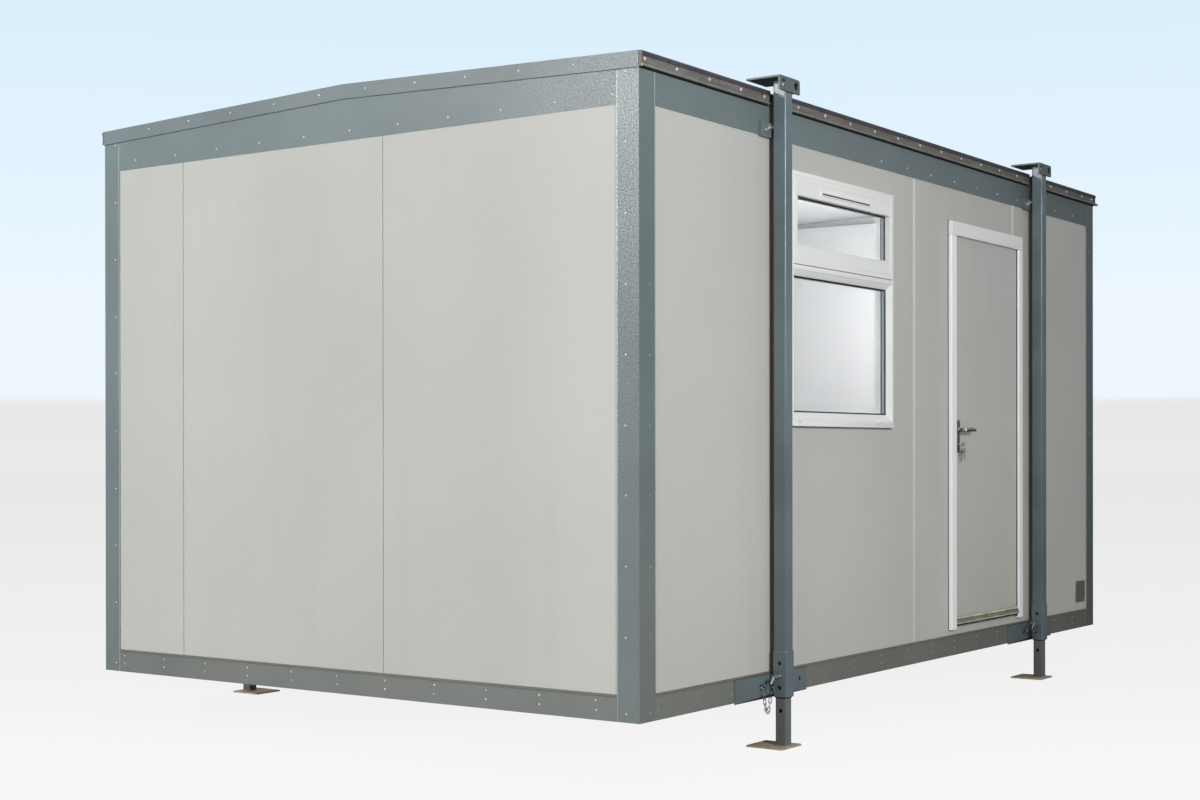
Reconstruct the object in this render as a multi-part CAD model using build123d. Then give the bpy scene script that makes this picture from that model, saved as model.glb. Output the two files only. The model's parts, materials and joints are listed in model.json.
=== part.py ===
from build123d import *
import os

# Portable site cabin on four jack legs, millimetres, +Z up.
# Origin: on the ground under the centre of the cabin. +X runs along the
# cabin towards the door end, the front (door and window) faces -Y.

# ---- driving dimensions -------------------------------------------------
LENGTH = 4750.0        # over the trims
WIDTH = 3000.0
GROUND = 210.0         # ground to the underside of the base trim
BASE_H = 102.5         # base trim height
WALL_TOP = 2317.0      # top of the visible wall panels, above the trim underside
EAVES = 2444.0         # top of the fascia at the corners
EAVES_MID = 2491.0     # top of the gable fascia at the ridge
ROOF_EDGE = 2507.0     # top of the roof at the corners
RIDGE = 2554.0         # top of the roof at the ridge
T_PANEL = 60.0         # sandwich panel thickness
T_SHEET = 2.0          # folded trim thickness
CORNER_FRONT = 109.0   # corner trim flange on the long sides
CORNER_SIDE = 102.0    # corner trim flange on the gables
JOINT = 3.0            # gap between wall panels
FRONT_SEAMS = (1130.0, 2354.0, 3554.0)
GABLE_SEAMS = (1273.0, 2472.0)
# window, from the left end and the trim underside
WIN_X0, WIN_X1, WIN_Z0, WIN_Z1 = 1126.0, 2095.0, 1121.0, 2204.0
WIN_PROUD = 18.0
WIN_FACE = 47.0         # frame face width
TRANSOM_Z0, TRANSOM_Z1 = 1762.0, 1807.0
VENT_Z0, VENT_Z1 = 1891.0, 2101.0    # glass of the top-hung vent
# door frame
DOOR_X0, DOOR_X1, DOOR_Z0, DOOR_Z1 = 2738.0, 3643.0, 132.0, 2155.0
DOOR_PROUD = 20.0
JAMB = 58.0
HEAD = 70.0
SILL0, SILL1 = 152.0, 187.0
LEAF_GAP = 6.0
LEAF_T = 60.0
# jack legs
LEG_X = 1398.0         # leg centre from the middle of the cabin
LEG_PROUD = 86.0       # front of the outer tube beyond the wall face
TUBE_DX = 7.0          # tube off the middle of its bracket plate, same hand on every leg
TUBE = 60.0
TUBE_T = 4.0
INNER = 50.0
INNER_T = 4.0
SLEEVE = 67.0
FOOT_A, FOOT_B, FOOT_T = 162.0, 172.0, 8.0
FOOT_SHIFT = 42.0      # foot plate centre inward of the leg centre
LUG_W, LUG_H, LUG_D = 168.0, 60.0, 160.0
LUG_T = 8.0
LUG_TOP = 2556.0
LUG_R = 16.0
LUG_HOLE_X = 52.0
PLATE_HALF = 297.0     # leg bracket plate half width

HL, HW = LENGTH / 2, WIDTH / 2
NODES = {}


def bx(x0, x1, y0, y1, z0, z1):
    """Box from the left end, the front face and the trim underside."""
    return Pos((x0 + x1) / 2 - HL, (y0 + y1) / 2 - HW, (z0 + z1) / 2 + GROUND) * Box(
        x1 - x0, y1 - y0, z1 - z0
    )


def flip_x(s):
    return mirror(s, about=Plane.YZ)


def flip_y(s):
    return mirror(s, about=Plane.XZ)


def prism_x(points, x0, x1):
    """Extrude a (y, z) outline from x0 to x1."""
    pts = [(y - HW, z + GROUND) for y, z in points]
    face = Plane.YZ * make_face(Polyline(*pts, close=True))
    return Pos(x0 - HL, 0, 0) * extrude(face, x1 - x0)


def prism_y(points, y0, y1):
    """Extrude an (x, z) outline from y0 to y1."""
    pts = [(x - HL, z + GROUND) for x, z in points]
    face = Plane.XZ * make_face(Polyline(*pts, close=True))
    return Pos(0, y0 - HW, 0) * extrude(face, -(y1 - y0))


def rod(p, axis, r, length):
    """Cylinder centred on p (local frame) along axis x, y or z."""
    c = Cylinder(r, length)
    if axis == "x":
        c = Rot(0, 90, 0) * c
    if axis == "y":
        c = Rot(90, 0, 0) * c
    return Pos(p[0] - HL, p[1] - HW, p[2] + GROUND) * c


def keep(name, *solids):
    NODES[name] = list(solids)


def tube_z(cx, cy, side, wall, z0, z1, r):
    """Rolled square tube standing upright."""
    outer = extrude(RectangleRounded(side, side, r), z1 - z0)
    inner = extrude(RectangleRounded(side - 2 * wall, side - 2 * wall, max(r - wall, 1)), z1 - z0)
    return Pos(cx - HL, cy - HW, z0 + GROUND) * (outer - inner)


# ---- chassis and floor ---------------------------------------------------
RAIL_H, RAIL_W, RAIL_T = 94.0, 50.0, 4.0
rz0, rz1 = 4.0, 4.0 + RAIL_H


def rail_x(x0, x1, y0, w):
    return bx(x0, x1, y0, y0 + w, rz0, rz1) - bx(x0 - 1, x1 + 1, y0 + RAIL_T, y0 + w - RAIL_T, rz0 + RAIL_T, rz1 - RAIL_T)


def rail_y(x0, y0, y1, w):
    return bx(x0, x0 + w, y0, y1, rz0, rz1) - bx(x0 + RAIL_T, x0 + w - RAIL_T, y0 - 1, y1 + 1, rz0 + RAIL_T, rz1 - RAIL_T)


inset = 3.0
keep("chassis_rails", rail_x(inset, LENGTH - inset, inset, RAIL_W), rail_x(inset, LENGTH - inset, WIDTH - inset - RAIL_W, RAIL_W))
cross = []
n_cross = 7
for i in range(n_cross):
    x0 = inset + i * (LENGTH - 2 * inset - RAIL_W) / (n_cross - 1)
    cross.append(rail_y(x0, inset + RAIL_W, WIDTH - inset - RAIL_W, RAIL_W))
keep("chassis_cross_members", *cross)
FLOOR0, FLOOR1 = rz1, 128.0
wall_in = T_SHEET + T_PANEL
keep("floor_deck", bx(wall_in + 1, LENGTH - wall_in - 1, wall_in + 1, WIDTH - wall_in - 1, FLOOR0, FLOOR1))

# ---- corner trims, full height, over the ends of the base trims and fascias ----
HEM = 7.0               # folded hem along the flange edges
EAVES_SLOPE = (EAVES_MID - EAVES) / HW
ct = (
    bx(0, CORNER_FRONT, 0, T_SHEET, 0, EAVES)
    + prism_x([(0, 0), (CORNER_SIDE, 0), (CORNER_SIDE, EAVES + EAVES_SLOPE * CORNER_SIDE), (0, EAVES)], 0, T_SHEET)
    + bx(CORNER_FRONT - HEM, CORNER_FRONT, -1.2, 0, BASE_H, EAVES)
    + bx(-1.2, 0, CORNER_SIDE - HEM, CORNER_SIDE, 0, EAVES)
)
keep("corner_trims", ct, flip_y(ct), flip_x(ct), flip_x(flip_y(ct)))

# ---- base trims, with a drip lip at the top and a return underneath ----------
lip = 40.0
bt_x0, bt_x1 = CORNER_FRONT, LENGTH - CORNER_FRONT
bt_y0, bt_y1 = CORNER_SIDE, WIDTH - CORNER_SIDE
DRIP = 5.0
base_front = (
    bx(bt_x0, bt_x1, 0, T_SHEET, 0, BASE_H)
    + bx(bt_x0, bt_x1, T_SHEET, lip, 0, T_SHEET)
    + prism_x([(0, 95.0), (-DRIP, 95.0), (-DRIP, 96.5), (0, BASE_H)], bt_x0, bt_x1)
)
keep("base_trims_long_sides", base_front, flip_y(base_front))
base_left = (
    bx(0, T_SHEET, bt_y0, bt_y1, 0, BASE_H)
    + bx(T_SHEET, lip, bt_y0, bt_y1, 0, T_SHEET)
    + prism_y([(0, 95.0), (-DRIP, 95.0), (-DRIP, 96.5), (0, BASE_H)], bt_y0, bt_y1)
    + bx(-1.5, 0, bt_y0, bt_y1, 0, 5)
)
keep("base_trims_gables", base_left, flip_x(base_left))

# ---- fascias under the roof ------------------------------------------------
ff = bx(bt_x0, bt_x1, 0, T_SHEET, WALL_TOP, EAVES)
keep("fascias_long_sides", ff, flip_y(ff))
fl = prism_x(
    [
        (bt_y0, WALL_TOP), (bt_y1, WALL_TOP), (bt_y1, EAVES + EAVES_SLOPE * CORNER_SIDE), (HW, EAVES_MID),
        (bt_y0, EAVES + EAVES_SLOPE * CORNER_SIDE),
    ],
    0, T_SHEET,
)
keep("fascias_gables", fl, flip_x(fl))

# ---- wall panels -----------------------------------------------------------
PZ0, PZ1 = rz1, EAVES - 4
y0, y1 = T_SHEET, T_SHEET + T_PANEL
x_in0, x_in1 = T_SHEET + T_PANEL + 1, LENGTH - T_SHEET - T_PANEL - 1
h = JOINT / 2
s1, s2, s3 = FRONT_SEAMS
keep("front_panel_left", bx(x_in0, s1, y0, y1, PZ0, PZ1))
WCUT = 14.0
win_panel = bx(s1 + JOINT, s2 - h, y0, y1, PZ0, PZ1) - bx(
    WIN_X0 - 10, WIN_X1 - WCUT, y0 - 1, y1 + 1, WIN_Z0 + WCUT, WIN_Z1 - WCUT
)
keep("window_panel", win_panel)
dc = 14.0
dx0, dx1 = DOOR_X0 + dc, DOOR_X1 - dc
reb0_, reb1_ = DOOR_X0 + JAMB - 14.5, DOOR_X1 - JAMB + 14.5
keep("front_panel_beside_door", bx(s2 + h, dx0, y0, y1, PZ0, PZ1))
keep("over_door_panel", bx(dx0, s3 - h, y0, y1, DOOR_Z1 - dc, PZ1), bx(s3 + h, dx1, y0, y1, DOOR_Z1 - dc, PZ1))
keep("under_door_panel", bx(dx0, dx1, y0, y1, PZ0, DOOR_Z0 - 0.2) + bx(reb0_, reb1_, y0, y1, DOOR_Z0 - 0.2, SILL0 - 0.2))
keep("front_panel_right", bx(dx1, x_in1, y0, y1, PZ0, PZ1))
bs = [x_in0] + list(FRONT_SEAMS) + [x_in1]
back = []
for i in range(4):
    a = bs[i] + (h if i else 0)
    b = bs[i + 1] - (h if i < 3 else 0)
    back.append(flip_y(bx(a, b, y0, y1, PZ0, PZ1)))
keep("back_wall_panels", *back)
gs = [T_SHEET] + list(GABLE_SEAMS) + [WIDTH - T_SHEET]
gable = []
for i in range(3):
    a = gs[i] + (h if i else 0)
    b = gs[i + 1] - (h if i < 2 else 0)
    gable.append(bx(T_SHEET, T_SHEET + T_PANEL, a, b, PZ0, PZ1))
keep("left_wall_panels", *gable)
keep("right_wall_panels", *[flip_x(p) for p in gable])

# ---- roof --------------------------------------------------------------------
roof_under0, roof_under1 = EAVES - 4, EAVES_MID - 4
slope = prism_x(
    [(T_SHEET, roof_under0), (HW - 1, roof_under1), (HW - 1, RIDGE - 5), (T_SHEET, ROOF_EDGE - 5)],
    T_SHEET, LENGTH - T_SHEET,
)
keep("roof_front_slope", slope)
keep("roof_back_slope", flip_y(slope))
# eaves edges along the long sides: riveted strip, roof sheet lip, drip bead
EV = 12.0
EV_T = 3.0
EV_LIP = 17.0
bead_r = 4.5
ev = prism_x(
    [
        (-EV + EV_T, EAVES + 8), (-EV, EAVES + 8), (-EV, ROOF_EDGE - 13), (-EV_LIP + 2, ROOF_EDGE - 13),
        (-EV_LIP, ROOF_EDGE - 11), (-EV_LIP, ROOF_EDGE - 4), (-EV_LIP + 3, ROOF_EDGE - 1), (-EV_LIP + 6, ROOF_EDGE),
        (T_SHEET, ROOF_EDGE), (T_SHEET, ROOF_EDGE - 5), (-EV + EV_T, ROOF_EDGE - 5),
    ],
    -1, LENGTH + 1,
) + rod((HL, -EV - 1.5, EAVES + 9), "x", bead_r, LENGTH + 2)
# notched where the legs pass
NOTCH = 34.0
cx = HL - LEG_X
for c in (cx + TUBE_DX, LENGTH - cx + TUBE_DX):
    ev -= bx(c - NOTCH, c + NOTCH, -40, 20, EAVES, ROOF_EDGE + 10)
ev_parts = list(ev.solids())
keep("eaves_edges", *ev_parts, *[Rot(0, 0, 180) * e for e in ev_parts])
# verge trims up the gables, wrapped round the ends of the eaves edges
VP = 5.0
ET = 3.0
VW = EV_LIP + 3.3
vg = prism_x(
    [(-VW, EAVES), (0, EAVES), (HW, EAVES_MID), (WIDTH, EAVES), (WIDTH + VW, EAVES), (WIDTH + VW, ROOF_EDGE), (HW, RIDGE), (-VW, ROOF_EDGE)],
    -VP, -VP + ET,
) + prism_x(
    [(T_SHEET + 1, ROOF_EDGE - 3), (HW, RIDGE - 3), (WIDTH - T_SHEET - 1, ROOF_EDGE - 3), (WIDTH - T_SHEET - 1, ROOF_EDGE), (HW, RIDGE), (T_SHEET + 1, ROOF_EDGE)],
    -VP + ET, 11,
)
for ya, yb in ((-VW, -VW + 2), (WIDTH + VW - 2, WIDTH + VW)):
    vg += bx(-VP, 9, ya, yb, EAVES + 1, ROOF_EDGE - 1)
keep("verge_trims", vg, flip_x(vg))

# ---- window --------------------------------------------------------------------
wy0 = -WIN_PROUD
gx0, gx1 = WIN_X0 + WIN_FACE, WIN_X1 - WIN_FACE
frame = bx(WIN_X0, WIN_X1, wy0, T_SHEET, WIN_Z0, WIN_Z1) + bx(
    WIN_X0 + 16, WIN_X1 - WCUT - 2, T_SHEET, y1, WIN_Z0 + WCUT + 2, WIN_Z1 - WCUT - 2
)
frame -= bx(gx0, gx1, -40, 80, WIN_Z0 + WIN_FACE + 2, TRANSOM_Z0)
frame -= bx(gx0, gx1, -40, 80, VENT_Z0 - 40, VENT_Z1 + 16)
# the top-hung vent closes into a rebate in the frame
frame -= bx(WIN_X0 + 17, WIN_X1 - 17, -40, 8, TRANSOM_Z1, WIN_Z1 - 18)
keep("window_frame", frame)
sash = bx(WIN_X0 + 19, WIN_X1 - 19, wy0 - 3, 7, TRANSOM_Z1 + 3, WIN_Z1 - 20) - bx(gx0, gx1, -40, 80, VENT_Z0, VENT_Z1)
# slot of the trickle ventilator
sash -= bx(1387, 1846, wy0 - 5, wy0 + 6, 2124, 2130)
keep("window_vent_sash", sash)
keep("window_glass_upper", bx(gx0 + 0.5, gx1 - 0.5, 8, 28, VENT_Z0 - 10, VENT_Z1 + 10))
keep("window_glass_lower", bx(gx0, gx1, 6, 26, WIN_Z0 + WIN_FACE + 2, TRANSOM_Z0))

# ---- door ------------------------------------------------------------------------
stop_y = -9.5
jamb_in = y1 - 2
fo = bx(DOOR_X0, DOOR_X1, -DOOR_PROUD, T_SHEET, DOOR_Z0, DOOR_Z1)
fi = bx(dx0, dx1, T_SHEET, jamb_in, DOOR_Z0, DOOR_Z1 - dc)
clear0, clear1 = DOOR_X0 + JAMB, DOOR_X1 - JAMB
reb0, reb1 = DOOR_X0 + JAMB - 15, DOOR_X1 - JAMB + 15
head_z, reb_z = DOOR_Z1 - HEAD, DOOR_Z1 - HEAD + 15
df = (fo + fi) - bx(clear0, clear1, -50, stop_y + 1, DOOR_Z0 - 5, head_z) - bx(reb0, reb1, stop_y, 90, DOOR_Z0 - 5, reb_z)
keep("door_jamb_left", df & bx(DOOR_X0 - 5, clear0, -60, 100, DOOR_Z0 - 1, head_z))
keep("door_jamb_right", df & bx(clear1, DOOR_X1 + 5, -60, 100, DOOR_Z0 - 1, head_z))
keep("door_head", df & bx(DOOR_X0 - 5, DOOR_X1 + 5, -60, 100, head_z, DOOR_Z1 + 5))
# sloping threshold with an upstand behind the leaf
th = prism_x(
    [(-DOOR_PROUD - 9, SILL0), (stop_y, SILL0), (stop_y, SILL1), (-DOOR_PROUD - 5, SILL0 + 14), (-DOOR_PROUD - 9, SILL0 + 11)],
    clear0, clear1,
) + prism_x([(stop_y, SILL0), (jamb_in, SILL0), (jamb_in, SILL1 - 14), (stop_y, SILL1 - 14)], reb0, reb1)
keep("door_threshold", th)
lx0, lx1 = reb0 + LEAF_GAP + 3, reb1 - LEAF_GAP
lz0, lz1 = SILL1 - 14 + LEAF_GAP, reb_z - LEAF_GAP
ly0 = stop_y + 5.5
ly1 = ly0 + LEAF_T
SPX, SPZ = lx0 + 50.0, 1120.0
leaf = bx(lx0, lx1, ly0, ly1, lz0, lz1) - rod((SPX, (ly0 + ly1) / 2, SPZ), "y", 11, LEAF_T + 10)
keep("door_leaf", leaf)
# hinge knuckles on the inner face: leaf and frame parts share the axis
HX, HY = lx1 + 3.0, ly1 + 12.0
kn_l, kn_f = [], []
for zc in (lz0 + 220, (lz0 + lz1) / 2, lz1 - 220):
    kn_f.append(rod((HX, HY, zc + 26), "z", 6.5, 48) + bx(HX, HX + 32, jamb_in, HY - 2, zc + 2, zc + 50))
    kn_l.append(
        rod((HX, HY, zc - 26), "z", 6.5, 48)
        + bx(HX - 40, HX - 3, ly1, ly1 + 4, zc - 50, zc - 2)
        + bx(HX - 7, HX - 3, ly1, HY, zc - 50, zc - 2)
    )
keep("hinge_leaves_door", *kn_l)
keep("hinge_leaves_frame", *kn_f)
# handles: back plates on the leaf, lever through it
plates = []
for ya, yb in ((ly0 - 5, ly0), (ly1, ly1 + 5)):
    pl = bx(SPX - 16, SPX + 16, ya, yb, SPZ - 112, SPZ + 48) - rod((SPX, (ya + yb) / 2, SPZ), "y", 11, 12)
    plates.append(pl)
keep("handle_backplates", *plates)
LEV_OUT = 46.0
lev = rod((SPX, (ly0 + ly1) / 2, SPZ), "y", 8, LEAF_T + 2 * LEV_OUT)
for ya, yb in ((ly0 - LEV_OUT - 8, ly0 - LEV_OUT + 8), (ly1 + LEV_OUT - 8, ly1 + LEV_OUT + 8)):
    lev += bx(SPX - 8, SPX + 122, ya, yb, SPZ - 9, SPZ + 9)
keep("door_lever", lev)
CYZ = SPZ - 72
keep("lock_cylinder", rod((SPX, ly0 - 7, CYZ), "y", 8.5, 4), rod((SPX, ly1 + 7, CYZ), "y", 8.5, 4))

# ---- jack legs ---------------------------------------------------------------------
leg_y = -LEG_PROUD + TUBE / 2
SLV0, SLV1 = 0.0, 187.0
PIN_Z = 86.0
legs, names = [], []


def turned(solid):
    """The same hand on all four legs: slid along the front, then turned half round for the back."""
    right = Pos(2 * LEG_X, 0, 0) * solid
    return [solid, right, Rot(0, 0, 180) * solid, Rot(0, 0, 180) * right]


cx = HL - LEG_X
tx = cx + TUBE_DX
tube = tube_z(tx, leg_y, TUBE, TUBE_T, 30, LUG_TOP - LUG_T, 7)
sleeve = tube_z(tx, leg_y, SLEEVE, (SLEEVE - TUBE) / 2 + 0.0, SLV0, SLV1, 9)
outer = tube + sleeve
for z in (SLV1 - 48, PIN_Z, SLV0 + 38):
    outer -= rod((tx, leg_y, z), "x", 9, 90)
keep("jack_leg_tubes", *turned(outer))

inner = tube_z(tx, leg_y, INNER, INNER_T, -GROUND + FOOT_T, 900, 6)
for z in (PIN_Z, PIN_Z - 144, PIN_Z + 144, PIN_Z + 288):
    inner -= rod((tx, leg_y, z), "x", 9, 90)
foot = bx(cx - FOOT_A / 2, cx + FOOT_A / 2, leg_y + FOOT_SHIFT - FOOT_B / 2, leg_y + FOOT_SHIFT + FOOT_B / 2, -GROUND, -GROUND + FOOT_T)
keep("jack_leg_inner_tubes", *turned(inner))
keep("jack_leg_foot_plates", *turned(foot))

pin = rod((tx - 21, leg_y, PIN_Z), "x", 8, 134)
keep("leg_pins", *turned(pin))

# lifting angles at the leg tops
la = bx(cx - LUG_W / 2, cx + LUG_W / 2, -LEG_PROUD - LUG_T, -LEG_PROUD, LUG_TOP - LUG_H, LUG_TOP) + bx(
    cx - LUG_W / 2, cx + LUG_W / 2, -LEG_PROUD, -LEG_PROUD - LUG_T + LUG_D, LUG_TOP - LUG_T, LUG_TOP
)
for sx in (-1, 1):
    la -= rod((cx + sx * LUG_HOLE_X, -LEG_PROUD - LUG_T / 2, LUG_TOP - 29), "y", LUG_R, 20)
# rounded free corner and a stiffener at the same end
xr = cx + LUG_W / 2
la -= bx(xr - 14, xr + 1, -LEG_PROUD - 30, LUG_D, LUG_TOP - 14, LUG_TOP + 1) - rod((xr - 14, 0, LUG_TOP - 14), "y", 14, 600)
la += bx(xr - 12, xr - 6, -LEG_PROUD, -LEG_PROUD + 52, LUG_TOP - LUG_H + 6, LUG_TOP - LUG_T)
keep("lifting_angles", *turned(la))

# spacer bars, clamps and bracket plates that tie the legs to the cabin
gap_y = leg_y + TUBE / 2
sp = bx(tx - 6, tx + 6, gap_y, 0, SLV1 + 3, EAVES + 50) + bx(tx - 6, tx + 6, -22, 0, BASE_H + 4, SLV1 + 3)
keep("leg_spacer_bars", *turned(sp))
PT = 6.0
bp = bx(cx - PLATE_HALF, cx + PLATE_HALF, -PT, 0, -6, 94) + bx(cx - 22, cx + 22, gap_y + 4, -PT, 8, 90)
for sx in (-1, 1):
    bp -= rod((cx + sx * 238, -PT / 2, 47), "y", 9, 20)
keep("leg_bracket_plates", *turned(bp))

clamps = []
for sx in (-1, 1):
    a, b = sorted((tx + sx * 6.5, cx + sx * 97))
    c, d = sorted((cx + sx * 91, cx + sx * 97))
    cl = bx(a, b, -14, -8, WALL_TOP - 5, WALL_TOP + 57) + bx(c, d, -8, 0, WALL_TOP - 5, WALL_TOP + 57)
    clamps += turned(cl)
keep("leg_clamps", *clamps)

# safety chains of the pins, as plain hanging loops
def chain_loop():
    pts = [
        (tx - 99, -18, 42), (tx - 98.5, -20, 4), (tx - 97, -26, -48), (tx - 94, -32, -62), (tx - 91, -38, -50),
        (tx - 88, -47, 6), (tx - 86, -52, 74),
    ]
    world = [Vector(x - HL, y - HW, z + GROUND) for x, y, z in pts]
    path = FilletPolyline(*world, radius=6)
    ring = Plane(origin=path @ 0, z_dir=path % 0) * Circle(4)
    loop = sweep(ring, path=path)
    lug = bx(tx - 105, tx - 93, -22, -6.2, 38, 50)
    return loop + lug


keep("pin_chains", *turned(chain_loop()))

# data plate, bare
keep("data_plate", bx(4471, 4616, 0.4, T_SHEET, 146, 269))

os.makedirs("parts", exist_ok=True)
for name, solids in NODES.items():
    shape = solids[0] if len(solids) == 1 else Compound(children=solids)
    export_step(shape, "parts/" + name + ".step")
print(len(NODES), "nodes")
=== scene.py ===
import json
import math
import random

import bmesh
import bpy
from mathutils import Matrix, Vector

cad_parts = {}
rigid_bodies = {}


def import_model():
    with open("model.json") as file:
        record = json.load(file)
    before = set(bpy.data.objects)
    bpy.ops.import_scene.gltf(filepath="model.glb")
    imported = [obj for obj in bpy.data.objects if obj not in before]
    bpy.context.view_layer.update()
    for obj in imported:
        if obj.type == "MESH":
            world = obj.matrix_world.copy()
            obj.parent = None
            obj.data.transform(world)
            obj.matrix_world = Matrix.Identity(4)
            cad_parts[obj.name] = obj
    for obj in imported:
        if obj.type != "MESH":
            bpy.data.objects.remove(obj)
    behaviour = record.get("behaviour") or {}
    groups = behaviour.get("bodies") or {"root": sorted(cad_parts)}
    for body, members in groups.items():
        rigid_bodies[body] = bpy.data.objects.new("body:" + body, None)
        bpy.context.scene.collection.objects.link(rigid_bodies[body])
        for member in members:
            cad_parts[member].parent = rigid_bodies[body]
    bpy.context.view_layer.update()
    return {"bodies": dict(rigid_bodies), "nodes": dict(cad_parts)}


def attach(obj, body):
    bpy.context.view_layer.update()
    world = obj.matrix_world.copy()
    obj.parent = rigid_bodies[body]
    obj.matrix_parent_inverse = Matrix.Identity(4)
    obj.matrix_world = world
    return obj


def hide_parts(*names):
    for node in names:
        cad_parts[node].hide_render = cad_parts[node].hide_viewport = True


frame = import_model()
NODES, BODIES = frame["nodes"], frame["bodies"]
random.seed(7)

# ---------------------------------------------------------------- camera
scene = bpy.context.scene
YAW, PITCH, ROLL = 0.9570669, -0.0020809, -0.0012966
cyaw, syaw = math.cos(YAW), math.sin(YAW)
fwd = Vector((syaw * math.cos(PITCH), cyaw * math.cos(PITCH), math.sin(PITCH)))
right = Vector((cyaw, -syaw, 0.0))
up = right.cross(fwd)
r2 = math.cos(ROLL) * right + math.sin(ROLL) * up
u2 = -math.sin(ROLL) * right + math.cos(ROLL) * up
cam_data = bpy.data.cameras.new("camera")
cam_data.sensor_width = 36.0
cam_data.lens = 54.7693
cam_data.shift_y = 0.04618
cam_data.dof.use_dof = False
cam_data.clip_end = 200.0
cam = bpy.data.objects.new("camera", cam_data)
rot = Matrix((r2, u2, -fwd)).transposed().to_4x4()
rot.translation = Vector((-8.00848, -5.28997, 1.22434))
cam.matrix_world = rot
scene.collection.objects.link(cam)
scene.camera = cam

scene.view_settings.view_transform = "Standard"
scene.view_settings.look = "None"


# ---------------------------------------------------------------- helpers
# Local metres: x from the left end, y from the front face, z from the underside of the base trim.
OX, OY, OZ = -2.375, -1.5, 0.210
LENGTH, WIDTH = 4.75, 3.0


def P(x, y, z):
    return Vector((x + OX, y + OY, z + OZ))


def lin(c):
    """sRGB 0-255 to linear."""
    out = []
    for v in c:
        v = v / 255.0
        out.append(v / 12.92 if v <= 0.04045 else ((v + 0.055) / 1.055) ** 2.4)
    return (*out, 1.0)


class Mat:
    """A small node-graph builder."""

    def __init__(self, name):
        self.m = bpy.data.materials.new(name)
        self.m.use_nodes = True
        self.t = self.m.node_tree
        self.t.nodes.clear()
        self.out = self.t.nodes.new("ShaderNodeOutputMaterial")
        self.b = self.t.nodes.new("ShaderNodeBsdfPrincipled")
        self.t.links.new(self.b.outputs[0], self.out.inputs[0])
        self.coord = self.t.nodes.new("ShaderNodeTexCoord")

    def n(self, kind, **kw):
        node = self.t.nodes.new(kind)
        for k, v in kw.items():
            if k in node.inputs:
                self.put(node.inputs[k], v)
            else:
                setattr(node, k, v)
        return node

    def put(self, socket, v):
        if hasattr(v, "outputs"):
            v = v.outputs[0]
        if isinstance(v, bpy.types.NodeSocket):
            self.t.links.new(v, socket)
        else:
            socket.default_value = v

    def set(self, **kw):
        names = {"color": "Base Color", "rough": "Roughness", "metal": "Metallic", "normal": "Normal", "ior": "IOR",
                 "coat": "Coat Weight", "coat_rough": "Coat Roughness", "spec": "Specular IOR Level", "alpha": "Alpha",
                 "trans": "Transmission Weight"}
        for k, v in kw.items():
            self.put(self.b.inputs[names[k]], v)
        return self

    def mapping(self, scale=(1, 1, 1), rot=(0, 0, 0)):
        mp = self.n("ShaderNodeMapping")
        mp.inputs["Scale"].default_value = scale
        mp.inputs["Rotation"].default_value = rot
        self.t.links.new(self.coord.outputs["Object"], mp.inputs["Vector"])
        return mp

    def noise(self, scale, detail=4.0, rough=0.55, vec=None, dist=0.0):
        nz = self.n("ShaderNodeTexNoise")
        nz.inputs["Scale"].default_value = scale
        nz.inputs["Detail"].default_value = detail
        nz.inputs["Roughness"].default_value = rough
        nz.inputs["Distortion"].default_value = dist
        self.t.links.new(vec.outputs[0] if vec else self.coord.outputs["Object"], nz.inputs["Vector"])
        return nz

    def ramp(self, src, stops):
        r = self.n("ShaderNodeValToRGB")
        els = r.color_ramp.elements
        while len(els) < len(stops):
            els.new(0.5)
        for e, (p, c) in zip(els, stops):
            e.position = p
            e.color = c if len(c) == 4 else (*c, 1.0)
        self.put(r.inputs[0], src)
        return r

    def mix(self, fac, a, b, mode="MIX"):
        mx = self.n("ShaderNodeMix", data_type="RGBA", blend_type=mode)
        mx.clamp_factor = True
        self.put(mx.inputs[0], fac)
        self.put(mx.inputs[6], a)
        self.put(mx.inputs[7], b)
        return mx.outputs[2]

    def math(self, op, a, b=0.0, c=0.0):
        mt = self.n("ShaderNodeMath", operation=op)
        self.put(mt.inputs[0], a)
        self.put(mt.inputs[1], b)
        if len(mt.inputs) > 2:
            self.put(mt.inputs[2], c)
        return mt.outputs[0]

    def bump(self, height, strength, dist, prev=None):
        bp = self.n("ShaderNodeBump")
        bp.inputs["Strength"].default_value = strength
        bp.inputs["Distance"].default_value = dist
        self.put(bp.inputs["Height"], height)
        if prev is not None:
            self.t.links.new(prev.outputs[0], bp.inputs["Normal"])
        return bp


def dirt_mask(m, z0, z1):
    """1 at height z0 fading to 0 at z1, broken up by noise."""
    sep = m.n("ShaderNodeSeparateXYZ")
    m.t.links.new(m.coord.outputs["Object"], sep.inputs[0])
    mr = m.n("ShaderNodeMapRange")
    mr.inputs["From Min"].default_value = z0
    mr.inputs["From Max"].default_value = z1
    mr.inputs["To Min"].default_value = 1.0
    mr.inputs["To Max"].default_value = 0.0
    m.t.links.new(sep.outputs[2], mr.inputs["Value"])
    nz = m.noise(9.0, 5.0)
    return m.math("MULTIPLY", mr.outputs[0], nz.outputs[0])


def stucco_bump(m, cell, strength, dist):
    """Embossed stucco: rounded pebbles in a net of grooves."""
    v = m.n("ShaderNodeTexVoronoi", feature="SMOOTH_F1")
    v.inputs["Scale"].default_value = 1.0 / cell
    v.inputs["Smoothness"].default_value = 0.6
    wob = m.noise(1.0 / (cell * 1.3), 2.0)
    warp = m.n("ShaderNodeVectorMath", operation="MULTIPLY_ADD")
    m.put(warp.inputs[0], wob.outputs[1])
    warp.inputs[1].default_value = (cell * 0.9,) * 3
    m.t.links.new(m.coord.outputs["Object"], warp.inputs[2])
    m.t.links.new(warp.outputs[0], v.inputs["Vector"])
    h = m.math("SUBTRACT", 1.0, v.outputs["Distance"])
    return h, m.bump(h, strength, dist)


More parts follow.
